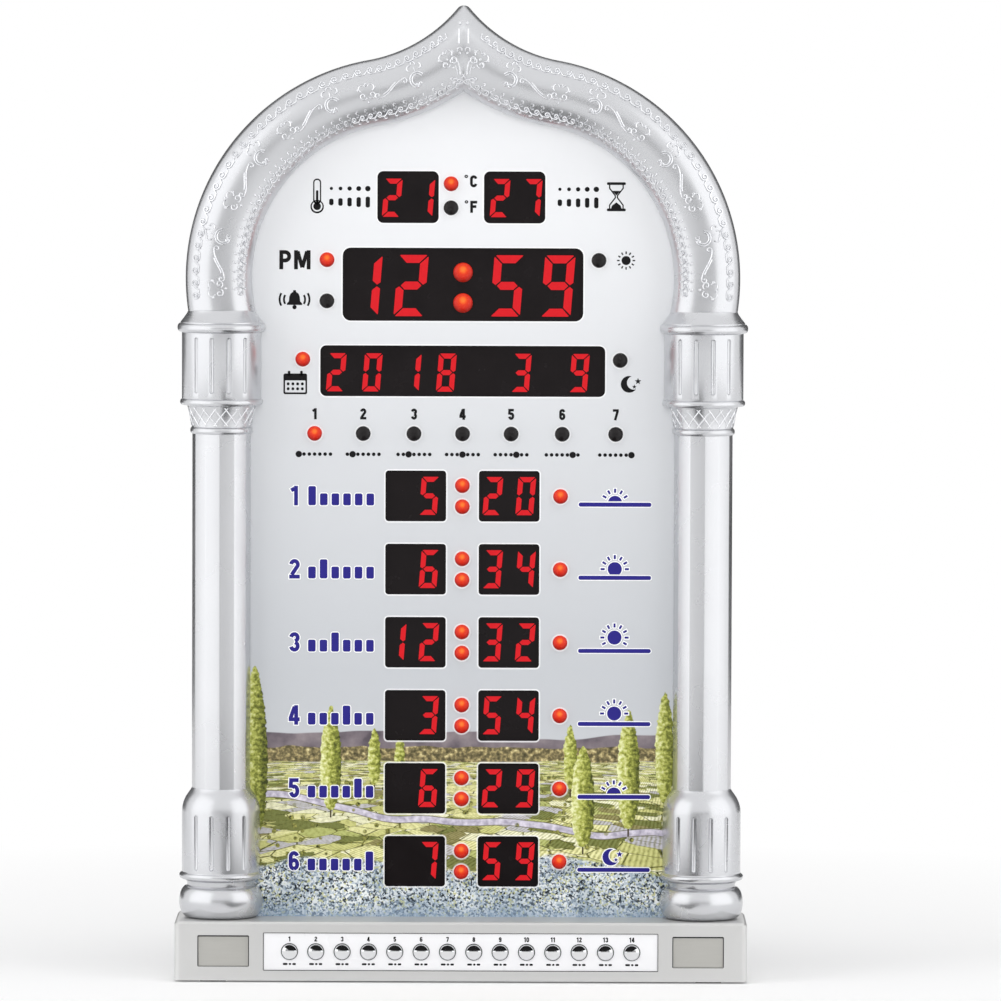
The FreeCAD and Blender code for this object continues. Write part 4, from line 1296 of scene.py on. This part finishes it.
def sun(x, z, radius, depth, grow=0.0, floor_z=None):
    """A sun sign with short rays; nothing of it shows below a horizon."""
    disk = spot("sun", x, z, radius + grow, depth)
    if floor_z is not None and floor_z > z - radius:
        side, foot = 2 * radius, floor_z - 6 * radius
        low = [(x - side, floor_z), (x + side, floor_z), (x + side, foot), (x - side, foot)]
        cut(disk, punch("low", low, depth))
    parts = [disk]
    for i in range(12):
        turn = pi * i / 6
        ends = [(x + r * radius * cos(turn), z + r * radius * sin(turn)) for r in (1.42, 2.0)]
        if floor_z is None or min(ends[0][1], ends[1][1]) > floor_z + 0.6:
            parts.append(inked("ray", stroke(ends, radius * 0.3, grow), depth))
    return parts


def calendar(x, z, depth):
    """A calendar page: a headed frame with rings and a grid of days."""
    page = inked("page", rounded_points((x, z - 0.4, 13, 11.4, 1.0)), depth)
    cut(page, punch("field", rounded_points((x, z - 1.8, 11.2, 6.6, 0.4)), depth))
    parts = [page]
    parts += [bar("ring", x + a, z + 5.4, 1.4, 2.8, depth) for a in (-3.4, 3.4)]
    for i in range(8):
        place = (x + (i % 4 - 1.5) * 2.6, z + (-0.4 if i < 4 else -3.1))
        parts.append(bar("day", *place, 1.5, 1.6, depth))
    return parts


def crescent(x, z, radius, depth, grow=0.0):
    """A crescent moon sign with two stars."""
    moon = spot("moon", x, z, radius + grow, depth, 48)
    shade = circle(x + radius * 0.55, z + radius * 0.18, radius * 0.82 - grow, 48)
    cut(moon, punch("shade", shade, depth))
    parts = [moon]
    for a, b, size in ((1.05, 0.35, 0.42), (0.62, -0.3, 0.28)):
        points = []
        for i in range(10):
            reach = (size if i % 2 == 0 else size * 0.42) * radius + grow
            turn = pi / 2 + pi * i / 5
            points.append((x + a * radius + reach * cos(turn), z + b * radius + reach * sin(turn)))
        parts.append(inked("star", points, depth))
    return parts


def row_marks(depth, grow):
    """Each row's figure and bars on the left, and how high the sun stands on the right."""
    parts = []
    lifts = (-3.4, 0.4, 3.0, 1.4, -3.0, None)
    for i, (z, lift) in enumerate(zip(ROW_HEIGHTS, lifts), 1):
        parts.append(lettering(f"row_{i}", str(i), -92.2, z, 10.8, depth, grow))
        for j in range(6):
            height = 10.6 if j == i - 1 else 6.6
            window = (-82.6 + j * 6.4, z - 5.3 + height / 2, 4.2, height, 0.9)
            parts.append(inked("row_bar", rounded_points(window, grow, 3), depth))
        right = 84.0
        ground = z - 4.4
        line = rounded_points((right, ground, 40, 2.3, 1.0), grow, 3)
        parts.append(inked("horizon", line, depth))
        if lift is None:
            parts += crescent(right - 1.5, z + 2.6, 4.6, depth, grow)
        else:
            parts += sun(right, z + lift, 3.9, depth, grow, ground + 1.9)
    return parts


def plinth_seals():
    """Thin dark rims round the two inset plates and the pale strip, that stand for the painted shadow in
    their gaps.
    """
    width, height = STRIP_SIZE
    edges = [((0, BUTTON_Z, width, height, 0.4), 0.28, 0.0)]
    # The rims round the plates sit 0.3 mm higher, so their painted shadow is widest along the top.
    edges += [((side * 130.2, BUTTON_Z, 27.4, 16.4, 0.3), 0.42, 0.3) for side in (-1, 1)]
    parts = []
    for window, grow, up in edges:
        edge = at(0, up, rounded_points(window, grow))
        shadow_rim = flat_shape("shadow_rim", edge, PLINTH_FRONT - 0.06, PLINTH_FRONT + 0.2)
        cut(shadow_rim, punch("opening", rounded_points(window), PLINTH_FRONT))
        parts.append(shadow_rim)
    dress(join("plinth_seals", parts), "black_rubber_and_painted_shadow")


def rear_screws():
    """Cross-head screws that hold the rear cover."""
    outline = [(0.0, 27.7), (2.9, 27.7), (2.9, 28.5), (2.5, 28.95), (1.6, 29.3), (0.0, 29.4)]
    first = turned("screw_first", outline, (0, 0, 0), (0, 1, 0), 32)
    for width, height in ((3.2, 0.62), (0.62, 3.2)):
        cut(first, flat_shape("slot", rounded_points((0, 0, width, height, 0.2), 0.0, 2), 28.6, 31))
    places = [(-98, 62), (98, 62), (-98, 200), (98, 200), (-112, 340), (112, 340), (0, 470)]
    places += [(-62, 460), (62, 460)]
    screws = [copied(first, (x, 0, z)) for x, z in places]
    bpy.data.objects.remove(first)
    obj = join("rear_screws", screws)
    smooth(obj)
    dress(obj, "plated_steel")


def finish_nodes():
    """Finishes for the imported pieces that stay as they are."""
    kinds = {
        "plinth_paint": ["plinth_housing"],
        "grey_moulding": ["front_frame"],
        "pale_moulding": ["back_shell", "plinth_base_cover"],
        "black_rubber_and_painted_shadow": ["rubber_feet"],
        "brushed_inset": ["left_inset_plate", "right_inset_plate"],
        "plated_steel": ["hanger_plates", "coin_cell"],
        "board_green": ["display_board", "main_board", "button_board"],
        "chip_white": ["lamp_chips"],
        "cable_grey": ["ribbon_cable", "internal_leads"],
    }
    chosen = {name: kind for kind, names in kinds.items() for name in names}
    for name, obj in nodes.items():
        paint(obj, chosen.get(name, "display_black" if "display" in name else "chip_black"))


def area_light(name, place, target, size, power):
    clear()
    bpy.ops.object.light_add(type="AREA", location=place)
    light = bpy.context.object
    light.name = name
    light.data.shape = "RECTANGLE"
    light.data.size, light.data.size_y = size
    light.data.energy = power
    light.visible_glossy = False
    light.rotation_euler = (Vector(target) - Vector(place)).to_track_quat("-Z", "Y").to_euler()


def seen_rays(net):
    """1 for the rays by which a camera, gloss or glass sees a surface, 0 for the light it gives."""
    path = net.node("LightPath")
    seen = net.maths("MAXIMUM", path.outputs["Is Camera Ray"], path.outputs["Is Glossy Ray"])
    return net.maths("MAXIMUM", seen, path.outputs["Is Transmission Ray"])


def emission(net, level, strength=1.0):
    return net.out("Emission", {"Color": (level, level, level, 1), "Strength": strength})


def card(name, corners, level):
    """A plain grey card that only gloss sees."""
    draw([Vector(corner) / MM for corner in corners])
    close_chain()
    bpy.ops.mesh.edge_face_add()
    obj = settle(name)
    material, net, _ = new_material(name)
    net.feed(net.tree.nodes["Material Output"], {"Surface": emission(net, level)})
    obj.data.materials.append(material)
    for kind in ("visible_camera", "visible_diffuse", "visible_shadow", "visible_volume_scatter"):
        setattr(obj, kind, False)


def floor():
    """A pale floor that takes the clock's shadow and turns white further off."""
    clear()
    bpy.ops.mesh.primitive_plane_add(size=40)
    obj = bpy.context.object
    obj.name = "floor"
    material, net, shader = new_material("floor_white")
    net.feed(shader, {"Base Color": (0.86, 0.86, 0.86, 1), "Roughness": 0.9, "Specular IOR Level": 0.1})
    away = net.out("VectorMath", {0: net.place()}, "Value", operation="LENGTH")
    seen = seen_rays(net)
    near = net.out("AddShader", {0: shader.outputs[0], 1: emission(net, 1, net.times(seen, 0.12))})
    far = net.times(net.ranged(away, 0.22, 0.75), seen)
    mixed = net.out("MixShader", {0: far, 1: near, 2: emission(net, 1)})
    net.feed(net.tree.nodes["Material Output"], {"Surface": mixed})
    obj.data.materials.append(material)


def upright(y, x0, x1, z0, z1):
    """Corners of a card that stands across the view."""
    return [(x0, y, z0), (x1, y, z0), (x1, y, z1), (x0, y, z1)]


def studio():
    """Floor, soft lamps, a pale room and the camera."""
    floor()
    world = bpy.context.scene.world or bpy.data.worlds.new("room")
    bpy.context.scene.world = world
    world.use_nodes = True
    net = Net(world.node_tree)
    room = net.blend(seen_rays(net), (0.5, 0.5, 0.505, 1), (1, 1, 1, 1))
    net.feed(net.tree.nodes["Background"], {"Color": room})
    card("front_card", upright(-5.2, -3.2, 3.2, 0.02, 1.05), 0.46)
    for side, name in ((-1, "left"), (1, "right")):
        bright = [(0.55, -0.9, 0), (1.15, 0.1, 0), (1.15, 0.1, 1.1), (0.55, -0.9, 1.1)]
        card(name + "_white_card", [(side * x, y, z) for x, y, z in bright], 1.55)
        card(name + "_dark_card", upright(1.5, side * 0.3, side * 2.2, 0, 2.2), 0.02)
    card("back_dark_card", upright(1.5, -0.3, 0.3, 0.75, 3.4), 0.02)
    shade = [(-0.118, -0.034, 0.036), (0.118, -0.034, 0.036), (0.118, -0.6, 0.047), (-0.118, -0.6, 0.047)]
    card("button_shade", shade, 0.02)
    for name, place, aim_z, size, power in (
        ("left_softbox", (-2.6, -1.5, 1.4), 0.25, (2.0, 2.4), 30),
        ("right_softbox", (2.6, -1.5, 1.2), 0.25, (2.0, 2.4), 24),
        ("top_softbox", (0, -0.4, 2.6), 0.2, (2.0, 1.2), 20),
        ("front_softbox", (0, -4.5, 1.2), 0.25, (2.5, 2.5), 50),
    ):
        area_light(name, place, (0, 0, aim_z), size, power)

    clear()
    bpy.ops.object.camera_add(location=(0.021, -4.69, 0.550))
    camera = bpy.context.object
    camera.data.lens = 307.4
    camera.data.clip_end = 60
    aim = Vector((0.021, 0, 0.2635)) - camera.location
    camera.rotation_mode = "QUATERNION"
    camera.rotation_quaternion = Quaternion(aim, radians(-0.2)) @ aim.to_track_quat("-Z", "Y")
    bpy.context.scene.camera = camera
    bpy.context.scene.view_settings.view_transform = "Standard"


studio()
finish_nodes()
sheet()
glows()
lamps()
digits()
arch()
relief()
column(-1, "left")
column(1, "right")
button_strip()
plinth_seals()
button_caps()
printed_marks()
rear_screws()
